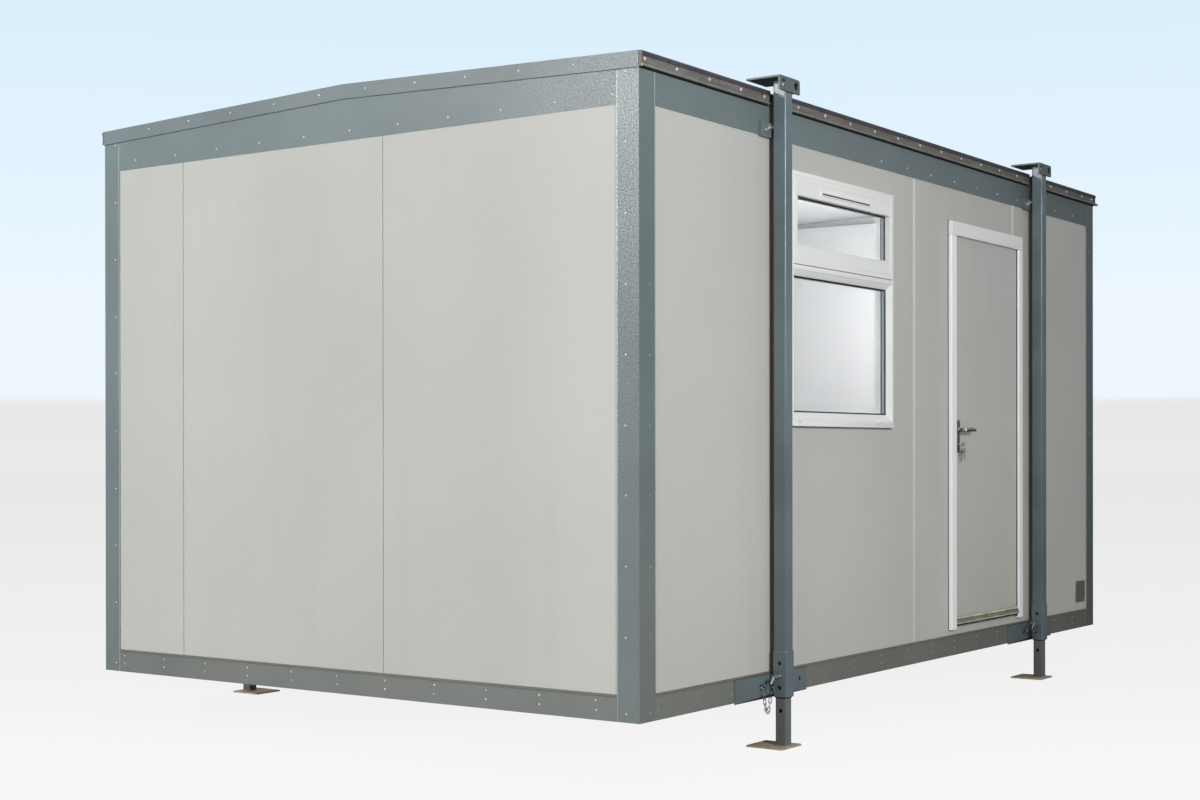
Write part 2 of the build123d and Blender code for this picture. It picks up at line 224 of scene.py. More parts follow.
def painted_glint_mask(m, y0, y1, z0, z1):
    """Mask for a painted glint: 1 high up on the left gable near its front corner, fading away from it."""
    sep = m.n("ShaderNodeSeparateXYZ")
    m.t.links.new(m.coord.outputs["Object"], sep.inputs[0])
    out = None
    for sock, a, c in ((1, y0, y1), (2, z0, z1), (0, -2.3735, -2.3747)):
        mr = m.n("ShaderNodeMapRange")
        mr.interpolation_type = "SMOOTHSTEP"
        mr.inputs["From Min"].default_value = a
        mr.inputs["From Max"].default_value = c
        m.t.links.new(sep.outputs[sock], mr.inputs["Value"])
        out = mr.outputs[0] if out is None else m.math("MULTIPLY", out, mr.outputs[0])
    return out


def tone(m, base, axis, stops):
    """Multiply a colour by one that changes slowly along an axis; stops are (position, grey or (r, g, b)). Most of its
    uses paint in light and shade that change across the cabin.
    """
    sep = m.n("ShaderNodeSeparateXYZ")
    m.t.links.new(m.coord.outputs["Object"], sep.inputs[0])
    lo, hi = stops[0][0], stops[-1][0]
    mr = m.n("ShaderNodeMapRange")
    mr.inputs["From Min"].default_value = lo
    mr.inputs["From Max"].default_value = hi
    m.t.links.new(sep.outputs[axis], mr.inputs["Value"])
    r = m.ramp(mr.outputs[0], [((q - lo) / (hi - lo), v if isinstance(v, tuple) else (v, v, v)) for q, v in stops])
    return m.mix(1.0, base, r, "MULTIPLY")


def panel_material(name, rgb, cell=0.0055, z_dirt=(0.28, 0.75), tones=()):
    m = Mat(name)
    big = m.noise(0.9, 3.0)
    fine = m.noise(60.0, 3.0)
    base = m.mix(m.ramp(big.outputs[0], [(0.35, (0, 0, 0)), (0.65, (1, 1, 1))]), lin([c * 0.985 for c in rgb]), lin([min(255, c * 1.01) for c in rgb]))
    h, bp = stucco_bump(m, cell, 0.30, 0.0010)
    # painted shade: the colour is darkened in the grooves of the embossing
    groove = m.ramp(h, [(0.25, (0.88, 0.88, 0.88)), (0.62, (1, 1, 1))])
    base = m.mix(0.30, base, groove, "MULTIPLY")
    # painted glint: high up near the front corner of the left gable the embossing is lightened and darkened in the
    # colour, standing in for the light that grazes it there
    em = m.noise(1.0, 2.0, 0.6, vec=m.mapping((150, 150, 80)))
    gm = painted_glint_mask(m, 0.05, -1.35, 0.9, 2.3)
    base = m.mix(m.math("MULTIPLY", gm, 0.85), base, m.ramp(em, [(0.38, (0.80, 0.80, 0.80)), (0.50, (1.0, 1.0, 1.0)), (0.62, (1.16, 1.16, 1.16))]), "MULTIPLY")
    base = m.mix(m.math("MULTIPLY", dirt_mask(m, *z_dirt), 0.12), base, lin((160, 156, 140)))
    # painted light: the walls are lighter towards the bottom, for the light thrown up from the floor
    base = tone(m, base, 2, [(0.3, 1.075), (1.3, 1.04), (2.4, 1.0)])
    # painted light from the tones given with each panel material
    for axis, stops in tones:
        base = tone(m, base, axis, stops)
    streak = m.noise(1.0, 4.0, vec=m.mapping((9, 9, 0.35)))
    base = m.mix(m.math("MULTIPLY", m.ramp(streak, [(0.52, (0, 0, 0)), (0.8, (1, 1, 1))]), 0.10), base, lin((150, 150, 144)))
    rough = m.n("ShaderNodeMapRange")
    m.put(rough.inputs["Value"], fine)
    rough.inputs["To Min"].default_value = 0.42
    rough.inputs["To Max"].default_value = 0.58
    m.set(color=base, rough=rough, spec=0.4, normal=bp)
    return m.m


# along defaults to painted shade: the trims darken towards the right-hand end of the front as the light falls off
def trim_material(name, rgb, cell=0.004, strength=0.5, along=((-2.4, 1.0), (-1.2, 1.0), (-0.1, 0.95), (0.5, 0.89), (1.95, 0.62), (2.4, 0.57)), glint=1.0, tones=()):
    m = Mat(name)
    big = m.noise(2.2, 4.0)
    mott = m.noise(55.0, 4.0, 0.7)
    base = m.mix(m.ramp(big, [(0.3, (0, 0, 0)), (0.7, (1, 1, 1))]), lin([c * 0.95 for c in rgb]), lin([c * 1.03 for c in rgb]))
    base = m.mix(m.math("MULTIPLY", m.ramp(mott, [(0.35, (0, 0, 0)), (0.75, (1, 1, 1))]), 0.10), base, lin([min(255, c * 1.18) for c in rgb]))
    h, bp = stucco_bump(m, cell, strength, 0.0009)
    # painted shade: the colour is darkened in the grooves of the embossing
    base = m.mix(0.4, base, m.ramp(h, [(0.2, (0.80, 0.80, 0.80)), (0.6, (1, 1, 1))]), "MULTIPLY")
    # painted glint: high up near the front corner of the left gable the colour gets strong light and dark speckle,
    # standing in for glints of the light there; glint sets its strength
    em = m.noise(1.0, 3.0, 0.65, vec=m.mapping((160, 160, 140)))
    gm = m.math("MULTIPLY", painted_glint_mask(m, -0.55, -1.5, 0.3, 2.6), glint)
    base = m.mix(gm, base, m.ramp(em, [(0.36, (0.62, 0.59, 0.60)), (0.50, (1.22, 1.15, 1.15)), (0.62, (2.15, 1.98, 1.96))]), "MULTIPLY")
    base = m.mix(m.math("MULTIPLY", dirt_mask(m, 0.2, 0.9), 0.42), base, lin((112, 104, 90)))
    # painted light: along and tones lighten and darken the colour across the cabin
    base = tone(m, base, 0, along)
    for axis, stops in tones:
        base = tone(m, base, axis, stops)
    rough = m.n("ShaderNodeMapRange")
    m.put(rough.inputs["Value"], mott)
    rough.inputs["To Min"].default_value = 0.26
    rough.inputs["To Max"].default_value = 0.44
    m.set(color=base, rough=rough, spec=0.55, normal=bp)
    return m.m


def paint_material(name, rgb, rough0=0.3, rough1=0.5, wear=0.35, galv=None, rust=None, along=None, up=None):
    """Gloss paint on steel with brush marks, chips and an optional bare top band."""
    m = Mat(name)
    big = m.noise(3.0, 4.0)
    marks = m.noise(1.0, 5.0, vec=m.mapping((60, 60, 4)))
    base = m.mix(m.ramp(big, [(0.3, (0, 0, 0)), (0.7, (1, 1, 1))]), lin([c * 0.90 for c in rgb]), lin([c * 1.08 for c in rgb]))
    base = m.mix(m.math("MULTIPLY", marks, 0.22), base, lin([min(255, c * 1.25) for c in rgb]))
    chips = m.noise(38.0, 6.0, 0.75)
    cm = m.ramp(chips, [(0.655, (0, 0, 0)), (0.69, (1, 1, 1))])
    base = m.mix(m.math("MULTIPLY", cm, wear), base, lin((128, 122, 112)))
    band = None
    if galv:
        sep = m.n("ShaderNodeSeparateXYZ")
        m.t.links.new(m.coord.outputs["Object"], sep.inputs[0])
        wob = m.noise(14.0, 4.0)
        zz = m.math("ADD", sep.outputs[2], m.math("MULTIPLY", wob, 0.05))
        mr = m.n("ShaderNodeMapRange")
        m.put(mr.inputs["Value"], zz)
        mr.inputs["From Min"].default_value = galv
        mr.inputs["From Max"].default_value = galv + 0.035
        band = mr.outputs[0]
        base = m.mix(band, base, lin((112, 117, 121)))
    if rust:
        rn = m.noise(22.0, 6.0, 0.7)
        base = m.mix(m.ramp(rn, [(0.40, (0, 0, 0)), (0.62, (1, 1, 1))]), base, lin(rust))
    # painted light: along and up lighten and darken the colour across the cabin and up the part
    if along:
        base = tone(m, base, 0, along)
    if up:
        base = tone(m, base, 2, up)
    rg = m.n("ShaderNodeMapRange")
    m.put(rg.inputs["Value"], marks)
    rg.inputs["To Min"].default_value = rough0
    rg.inputs["To Max"].default_value = rough1
    orange = m.noise(210.0, 2.0)
    bp = m.bump(orange, 0.12, 0.0006)
    bp2 = m.bump(cm, 0.25, 0.0005, bp)
    rough = rg.outputs[0]
    if band is not None:
        rough = m.math("ADD", m.math("MULTIPLY", rough, m.math("SUBTRACT", 1.0, band)), m.math("MULTIPLY", band, 0.29))
    m.set(color=base, rough=rough, spec=0.5, normal=bp2)
    return m.m


def metal_material(name, rgb, rough0, rough1, metal=1.0, scale=(1, 1, 1), nscale=40.0, bump=0.1, spots=None, along=None):
    m = Mat(name)
    a = m.noise(nscale, 5.0, 0.65, vec=m.mapping(scale))
    base = m.mix(m.ramp(a, [(0.3, (0, 0, 0)), (0.7, (1, 1, 1))]), lin([c * 0.86 for c in rgb]), lin([min(255, c * 1.1) for c in rgb]))
    if spots:
        s = m.noise(26.0, 5.0, 0.7)
        base = m.mix(m.ramp(s, [(0.56, (0, 0, 0)), (0.72, (1, 1, 1))]), base, lin(spots))
    # painted light: along lightens and darkens the colour across the cabin
    if along:
        base = tone(m, base, 0, along)
    rg = m.n("ShaderNodeMapRange")
    m.put(rg.inputs["Value"], a)
    rg.inputs["To Min"].default_value = rough0
    rg.inputs["To Max"].default_value = rough1
    m.set(color=base, rough=rg, metal=metal, normal=m.bump(a, bump, 0.0004))
    return m.m


def plastic_material(name, rgb, rough=0.32, bump=0.05, var=0.012, grime=0.08):
    m = Mat(name)
    a = m.noise(5.0, 3.0)
    b = m.noise(180.0, 3.0)
    base = m.mix(a, lin([c * (1 - var) for c in rgb]), lin([min(255, c * (1 + var)) for c in rgb]))
    gr = m.noise(11.0, 5.0, 0.7)
    base = m.mix(m.math("MULTIPLY", m.ramp(gr, [(0.55, (0, 0, 0)), (0.8, (1, 1, 1))]), grime), base, lin([c * 0.78 for c in rgb]))
    rg = m.n("ShaderNodeMapRange")
    m.put(rg.inputs["Value"], b)
    rg.inputs["To Min"].default_value = rough * 0.85
    rg.inputs["To Max"].default_value = rough * 1.25
    m.set(color=base, rough=rg, normal=m.bump(b, bump, 0.0003))
    return m.m


def wood_material(name, rgb):
    m = Mat(name)
    g = m.noise(1.0, 6.0, 0.6, vec=m.mapping((1.5, 28, 28)))
    base = m.mix(g, lin([c * 0.8 for c in rgb]), lin([min(255, c * 1.12) for c in rgb]))
    m.set(color=base, rough=0.6, normal=m.bump(g, 0.2, 0.0006))
    return m.m


# ---------------------------------------------------------------- materials
# painted light: the tones on the wall panels lighten, darken and warm them across the front and along the gable as the
# light falls; the gable panels are a separately toned copy of the panel colour
PANEL = panel_material("panel_stucco", (193, 193, 190), tones=[(0, ((-2.4, (1.0, 1.0, 0.99)), (-0.4, (1.03, 1.03, 1.0)), (0.5, (1.0, 0.985, 0.95)), (2.4, (0.96, 0.945, 0.905))))])
PANEL_GABLE = panel_material("panel_stucco_gable", (186, 186, 180), tones=[(1, ((-1.5, 1.03), (-1.2, 1.02), (-0.85, 0.95), (-0.3, 0.965), (0.3, 0.97), (0.9, 1.0), (1.5, 1.0)))])
PANEL_IN = plastic_material("panel_inner_white", (222, 222, 221), 0.45)
DOOR_SKIN = panel_material("door_skin_stucco", (199, 199, 196), z_dirt=(0.36, 0.7), tones=[(2, ((0.3, (0.90, 0.885, 0.83)), (0.8, (0.92, 0.905, 0.86)), (1.4, (0.98, 0.97, 0.93)), (2.2, (0.98, 0.965, 0.95))))])
TRIM = trim_material("trim_grey_green", (112, 124, 125))
END_PLATE = metal_material("strip_end_mottled", (112, 108, 106), 0.4, 0.7, metal=0.2, nscale=120.0, bump=0.4, spots=(66, 52, 46))
# base trims: a dusty colour, with painted light along them: much lighter just past the front corner, darker and
# browner towards the right-hand end and towards the back of the gable
BASE = trim_material("base_trim_dust_and_painted_light", (115, 121, 118), along=((-2.4, (1.14, 1.12, 1.15)), (-2.374, (1.14, 1.12, 1.15)), (-2.36, (1.28, 1.26, 1.23)), (-1.4, (1.16, 1.10, 1.08)), (0.0, (1.07, 1.04, 1.0)), (1.0, (0.94, 0.91, 0.85)), (2.4, (0.77, 0.74, 0.67))), tones=[(1, ((-1.5, 1.0), (0.9, 0.98), (1.5, 0.87)))])
# lit and shaded copies of the trim: painted light on the gable fascias, darker towards the front corner, and on the
# two faces of the corner trim at the front of the left gable, lighter and darker with height
FASCIA_G = trim_material("fascia_gable_grey_green", (112, 124, 125), tones=[(1, ((-1.5, 0.83), (-1.2, 0.83), (-0.75, 0.86), (-0.1, 0.97), (0.4, 1.01), (1.5, 1.0)))])
CORNER_NEAR = trim_material("corner_left_gable_side", (112, 124, 125), tones=[(2, ((0.3, 1.12), (0.67, (1.0, 0.95, 0.93)), (1.12, 0.91), (1.42, 0.85), (1.70, 0.83), (1.98, 0.86), (2.24, 0.96), (2.47, 1.08)))])
CORNER_NEAR_F = trim_material("corner_left_front_side", (112, 124, 125), tones=[(2, ((0.3, (1.2, 1.1, 1.06)), (0.8, (1.05, 1.0, 0.95)), (1.42, 1.0), (1.98, 0.87), (2.47, 0.96)))])
BASE_TOP = plastic_material("base_trim_dust", (104, 99, 90), 0.6, 0.2, 0.06)
# brighter copy of the trim for the hem edges: painted highlight
HEM_HIGHLIGHT = trim_material("trim_hem_highlight", (150, 160, 161), strength=0.15)
# eaves strip, sheet lip and bead: along is painted shade, darker towards the right-hand end
STRIP = metal_material("eaves_strip_weathered_and_shaded", (130, 127, 122), 0.40, 0.62, metal=0.35, nscale=30.0, bump=0.25, spots=(100, 96, 88), scale=(0.25, 1, 1), along=((-2.4, 1.0), (0.2, 0.86), (2.4, 0.62)))
SHEET_EDGE = metal_material("roof_sheet_edge", (84, 77, 86), 0.34, 0.55, metal=0.2, nscale=26.0, bump=0.2, spots=(70, 64, 68), scale=(0.25, 1, 1), along=((-2.4, 1.0), (0.2, 0.86), (2.4, 0.62)))
BEAD = metal_material("eaves_bead", (166, 162, 152), 0.28, 0.5, metal=0.5, nscale=40.0, bump=0.2, spots=(110, 104, 92), scale=(0.2, 1, 1), along=((-2.4, 1.0), (0.2, 0.86), (2.4, 0.62)))
# verges: half-strength painted glint, and painted shade, darkest a little behind the front corner
VERGE = trim_material("verge_grey", (114, 124, 125), glint=0.5, tones=[(1, ((-1.5, 0.88), (-1.2, 0.80), (-0.9, 0.72), (-0.4, 0.90), (0.2, 0.97), (1.5, 0.96)))])
ROOF = trim_material("roof_sheet", (104, 108, 112), cell=0.006, strength=0.2)
# leg tubes: painted light; along darkens them towards the right-hand end, and up lightens the tops high up and darkens
# them low down
LEG = paint_material("leg_blue_grey", (99, 111, 114), 0.15, 0.27, along=((-2.4, 1.06), (-0.9, 1.06), (2.4, 0.78)))
LEG_TOP = paint_material("leg_blue_grey_top", (95, 109, 115), 0.15, 0.27, galv=2.690, along=((-2.4, 1.0), (-0.9, 1.0), (2.4, 0.90)), up=((0.2, (0.90, 0.88, 0.83)), (0.8, (0.91, 0.90, 0.84)), (1.2, (1.0, 1.0, 0.94)), (2.0, (1.0, 1.02, 0.97)), (2.35, (1.10, 1.14, 1.13))))
# lit copies for the faces of the tubes that face the front: painted light, lighter than the side faces and brightest
# at mid height
LEG_FRONT_LIT = paint_material("leg_blue_grey_front_lit", (95, 109, 115), 0.15, 0.27, galv=2.690, along=((-2.4, 1.0), (-0.9, 1.0), (0.5, 0.88), (2.4, 0.82)), up=((0.2, (1.13, 1.04, 1.02)), (0.7, (1.17, 1.06, 1.04)), (1.1, (1.30, 1.20, 1.20)), (1.7, (1.25, 1.16, 1.14)), (2.2, (1.08, 1.06, 1.07))))
INNER_FRONT_LIT = paint_material("leg_inner_front_lit", (105, 110, 109), 0.34, 0.55, wear=0.5, along=((-2.4, 1.0), (-0.9, 1.0), (2.4, 0.75)))
# lifting angles: painted shade, darker towards the right-hand end, and a near-black copy for the faces that look down
ANGLE = paint_material("lifting_angle_grey", (92, 101, 103), 0.3, 0.5, wear=0.5, along=((-2.4, 1.0), (-0.9, 1.0), (2.4, 0.62)))
ANGLE_UNDERSIDE_SHADE = paint_material("lifting_angle_underside_shade", (46, 51, 50), 0.5, 0.7, wear=0.3)
SHADED_PAINT = paint_material("leg_paint_shaded", (34, 35, 34), 0.5, 0.7, wear=0.2)
RUST = metal_material("strip_rust", (96, 66, 50), 0.6, 0.85, metal=0.1, nscale=90.0, bump=0.4, spots=(62, 44, 36))
# dimmer copy of the rivet colour: painted shade on rivets away from the light
RIVET_SHADED = metal_material("rivet_head_shaded", (150, 158, 158), 0.35, 0.55, metal=0.1, nscale=80.0, bump=0.08)
# chains and pin handles: dull zinc, and along is painted shade, much darker on the right-hand legs
LINK = metal_material("chain_dull_zinc_and_shade", (150, 150, 146), 0.25, 0.45, metal=0.9, nscale=90.0, bump=0.15, spots=(84, 82, 76), along=((-2.4, 1.0), (-0.9, 1.0), (2.4, 0.45)))
# inner tubes: along is painted shade, darker towards the right-hand end
INNER_LEG = paint_material("leg_inner_dark", (91, 95, 94), 0.34, 0.55, wear=0.5, along=((-2.4, 1.0), (-0.9, 1.0), (2.4, 0.85)))
FOOT = metal_material("foot_rusty", (182, 163, 136), 0.55, 0.8, metal=0.1, nscale=24.0, bump=0.4, spots=(120, 98, 76))
# packer bars behind the legs: dark brown, partly the bar's own colour and partly painted shade of the narrow gap
# between leg and wall
PACKER = metal_material("packer_brown", (84, 66, 50), 0.6, 0.85, metal=0.1, nscale=50.0, bump=0.3)
UPVC = plastic_material("upvc_white", (240, 241, 238), 0.24, grime=0.02)
# brighter copy of the white for the door jambs: painted light
UPVC_JAMB_LIT = plastic_material("upvc_jamb_lit", (253, 254, 252), 0.2, grime=0.01)
GASKET = plastic_material("gasket_black", (24, 25, 27), 0.5)
SILL = metal_material("sill_aluminium", (184, 179, 160), 0.3, 0.55, metal=0.7, nscale=30.0, bump=0.2, spots=(124, 116, 94), scale=(0.3, 1, 1))
# darker and lighter copies of the sill for its painted shade and painted highlights
SILL_SHADE = metal_material("sill_slope_shade", (106, 100, 82), 0.4, 0.6, metal=0.1, nscale=30.0, bump=0.2, spots=(84, 78, 62), scale=(0.3, 1, 1))
SILL_HIGHLIGHT = metal_material("sill_edge_highlight", (214, 209, 188), 0.4, 0.6, metal=0.1, nscale=30.0, bump=0.2, spots=(170, 164, 142), scale=(0.3, 1, 1))
STEEL = metal_material("stainless_satin", (172, 168, 156), 0.15, 0.3, metal=1.0, nscale=90.0, bump=0.05)
ZINC = metal_material("zinc_bright", (200, 202, 206), 0.24, 0.42, metal=0.85, nscale=60.0, bump=0.12, spots=(158, 156, 150))
RIVET = metal_material("rivet_pale", (214, 214, 208), 0.3, 0.5, metal=0.35, nscale=80.0, bump=0.08)
CHASSIS = paint_material("chassis_grey", (58, 62, 66), 0.45, 0.65)
FLOOR_PLY = wood_material("floor_board", (150, 124, 90))
VINYL = plastic_material("floor_vinyl", (136, 140, 143), 0.4, 0.15)
PLATE = metal_material("data_plate_dark", (130, 125, 110), 0.35, 0.55, metal=0.6, nscale=70.0, bump=0.1)
DARK = plastic_material("shadow_gap", (10, 10, 11), 0.8)
SEAM = plastic_material("joint_strip_white", (216, 217, 213), 0.34)
BRASS = metal_material("key_nickel", (206, 202, 186), 0.2, 0.36, metal=1.0, nscale=120.0, bump=0.06)
SPACER = metal_material("glazing_spacer", (176, 186, 196), 0.25, 0.4, metal=0.9, nscale=90.0, bump=0.05)


def glass_material(name):
    m = Mat(name)
    tint = m.noise(0.7, 2.0)
    col = m.mix(tint, lin((250, 250, 251)), lin((247, 248, 250)))
    m.set(color=col, rough=0.0, ior=1.5, trans=1.0, spec=0.5)
    return m.m


GLASS = glass_material("window_glass")


def paint(names, mat):
    for nm in names:
        o = NODES[nm]
        o.data.materials.clear()
        o.data.materials.append(mat)


TDX_ = 0.007
wall_nodes = [n for n in NODES if "panel" in n]
paint(wall_nodes, PANEL)
paint(["left_wall_panels", "right_wall_panels"], PANEL_GABLE)
paint(["base_trims_long_sides", "base_trims_gables", "corner_trims", "fascias_long_sides", "fascias_gables"], TRIM)
paint(["base_trims_long_sides", "base_trims_gables"], BASE)
paint(["fascias_gables"], FASCIA_G)
paint(["eaves_edges"], STRIP)
paint(["verge_trims"], VERGE)
paint(["roof_front_slope", "roof_back_slope"], ROOF)
paint(["jack_leg_tubes"], LEG_TOP)
paint(["lifting_angles"], ANGLE)
paint(["leg_bracket_plates", "leg_clamps"], LEG)
paint(["jack_leg_inner_tubes"], INNER_LEG)
paint(["jack_leg_foot_plates"], FOOT)
paint(["leg_spacer_bars"], PACKER)
paint(["window_frame", "window_vent_sash", "door_head", "door_jamb_left", "door_jamb_right"], UPVC)
# the jambs take the brighter copy: painted light
paint(["door_jamb_left", "door_jamb_right"], UPVC_JAMB_LIT)
paint(["door_threshold"], SILL)
paint(["door_leaf"], DOOR_SKIN)
paint(["door_lever", "handle_backplates", "lock_cylinder"], STEEL)
paint(["leg_pins", "pin_chains", "hinge_leaves_door", "hinge_leaves_frame"], ZINC)
paint(["chassis_rails", "chassis_cross_members"], CHASSIS)
paint(["floor_deck"], VINYL)
paint(["window_glass_upper", "window_glass_lower"], GLASS)
paint(["data_plate"], PLATE)

# the faces of the wall panels that look into the room are smooth white
for nm in wall_nodes + ["roof_front_slope", "roof_back_slope"]:
    me = NODES[nm].data
    me.materials.append(PANEL_IN)
    for p in me.polygons:
        c, nrm = p.center, p.normal
        inward = (abs(c.x) < 2.32 and abs(c.y) < 1.445)
        if inward and (nrm.x * c.x < 0 or nrm.y * c.y < 0 or nrm.z < -0.9) and max(abs(nrm.x), abs(nrm.y), abs(nrm.z)) > 0.9:
            p.material_index = 1
# trims: light on the room side, dust along the top of the base trims, a brighter copy of the trim colour on the folded
# hems of the corner trims as a painted highlight, and lit and shaded copies for the corner at the front of the left
# gable
for nm in ("fascias_long_sides", "fascias_gables", "corner_trims", "base_trims_long_sides", "base_trims_gables"):
    me = NODES[nm].data
    me.materials.append(PANEL_IN)
    me.materials.append(BASE_TOP)
    me.materials.append(HEM_HIGHLIGHT)
    me.materials.append(CORNER_NEAR)
    me.materials.append(CORNER_NEAR_F)
    for p in me.polygons:
        c, nrm = p.center, p.normal
        if (nrm.x * c.x < -0.5 and abs(c.y) < 1.45) or (nrm.y * c.y < -0.5 and abs(c.x) < 2.32):
            p.material_index = 1
        elif nm.startswith("base") and nrm.z > 0.3 and c.z - OZ > 0.09:
            p.material_index = 2
        elif nm == "corner_trims" and (abs(c.x) > 2.3756 or abs(c.y) > 1.5006) and max(abs(nrm.x), abs(nrm.y)) > 0.9 and min(abs(2.375 + 0.0012 - abs(c.x)), abs(1.5 + 0.0012 - abs(c.y))) < 0.0004:
            p.material_index = 3
        elif nm == "corner_trims" and c.x < -2.2 and c.y < -1.3 and nrm.x < -0.9:
            p.material_index = 4
        elif nm == "corner_trims" and c.x < -2.2 and c.y < -1.3 and nrm.y < -0.9:
            p.material_index = 5
# the faces of the leg tubes that face the front take the lit copies: painted light
for nm, mat in (("jack_leg_tubes", LEG_FRONT_LIT), ("jack_leg_inner_tubes", INNER_FRONT_LIT)):
    me = NODES[nm].data
    me.materials.append(mat)
    for p in me.polygons:
        if p.normal.y < -0.9:
            p.material_index = 1
# faces of the lifting angles that look down take the dark copy: painted shade
me = NODES["lifting_angles"].data
me.materials.append(ANGLE_UNDERSIDE_SHADE)
for p in me.polygons:
    if p.normal.z < -0.5:
        p.material_index = 1
# faces of the bracket plates beside the leg tubes take the near-black shaded paint: painted shade in the gaps
me = NODES["leg_bracket_plates"].data
me.materials.append(SHADED_PAINT)
for p in me.polygons:
    near = min(abs(p.center.x - sx * 1.398 - (TDX_ if p.center.y < 0 else -TDX_)) for sx in (-1, 1))
    if near < 0.060 and abs(p.normal.z) < 0.5:
        p.material_index = 1
# door leaf: white inside
me = NODES["door_leaf"].data
me.materials.append(PANEL_IN)
for p in me.polygons:
    if p.normal.y > 0.5:
        p.material_index = 1
# eaves edge: rolled sheet lip above the strip, bead below it
me = NODES["eaves_edges"].data
me.materials.append(SHEET_EDGE)
me.materials.append(BEAD)
for p in me.polygons:
    z = p.center.z - OZ
    if z > 2.4935:
        p.material_index = 1
    elif z < 2.4585 and abs(p.center.y) > 1.5085:
        p.material_index = 2


def soften(names, width, segments=2, angle=35.0):
    """Round the sharp edges of a CAD node with modifiers; its own mesh stays as it is."""
    for nm in names:
        o = NODES[nm]
        w = o.modifiers.new("join", "WELD")
        w.merge_threshold = 0.00002
        b = o.modifiers.new("round", "BEVEL")
        b.width = width
        b.segments = segments
        b.limit_method = "ANGLE"
        b.angle_limit = math.radians(angle)
        b.use_clamp_overlap = True
        b.harden_normals = True


soften(["window_frame", "window_vent_sash"], 0.0022)
soften(["door_jamb_left", "door_jamb_right", "door_head"], 0.0045, 3)
soften(["door_threshold"], 0.0012)
soften(["handle_backplates", "lock_cylinder"], 0.0016)
soften(["leg_bracket_plates", "leg_clamps", "lifting_angles"], 0.0011, 1)
soften(["jack_leg_foot_plates"], 0.0014, 1)
soften(["door_leaf"], 0.0012, 2)


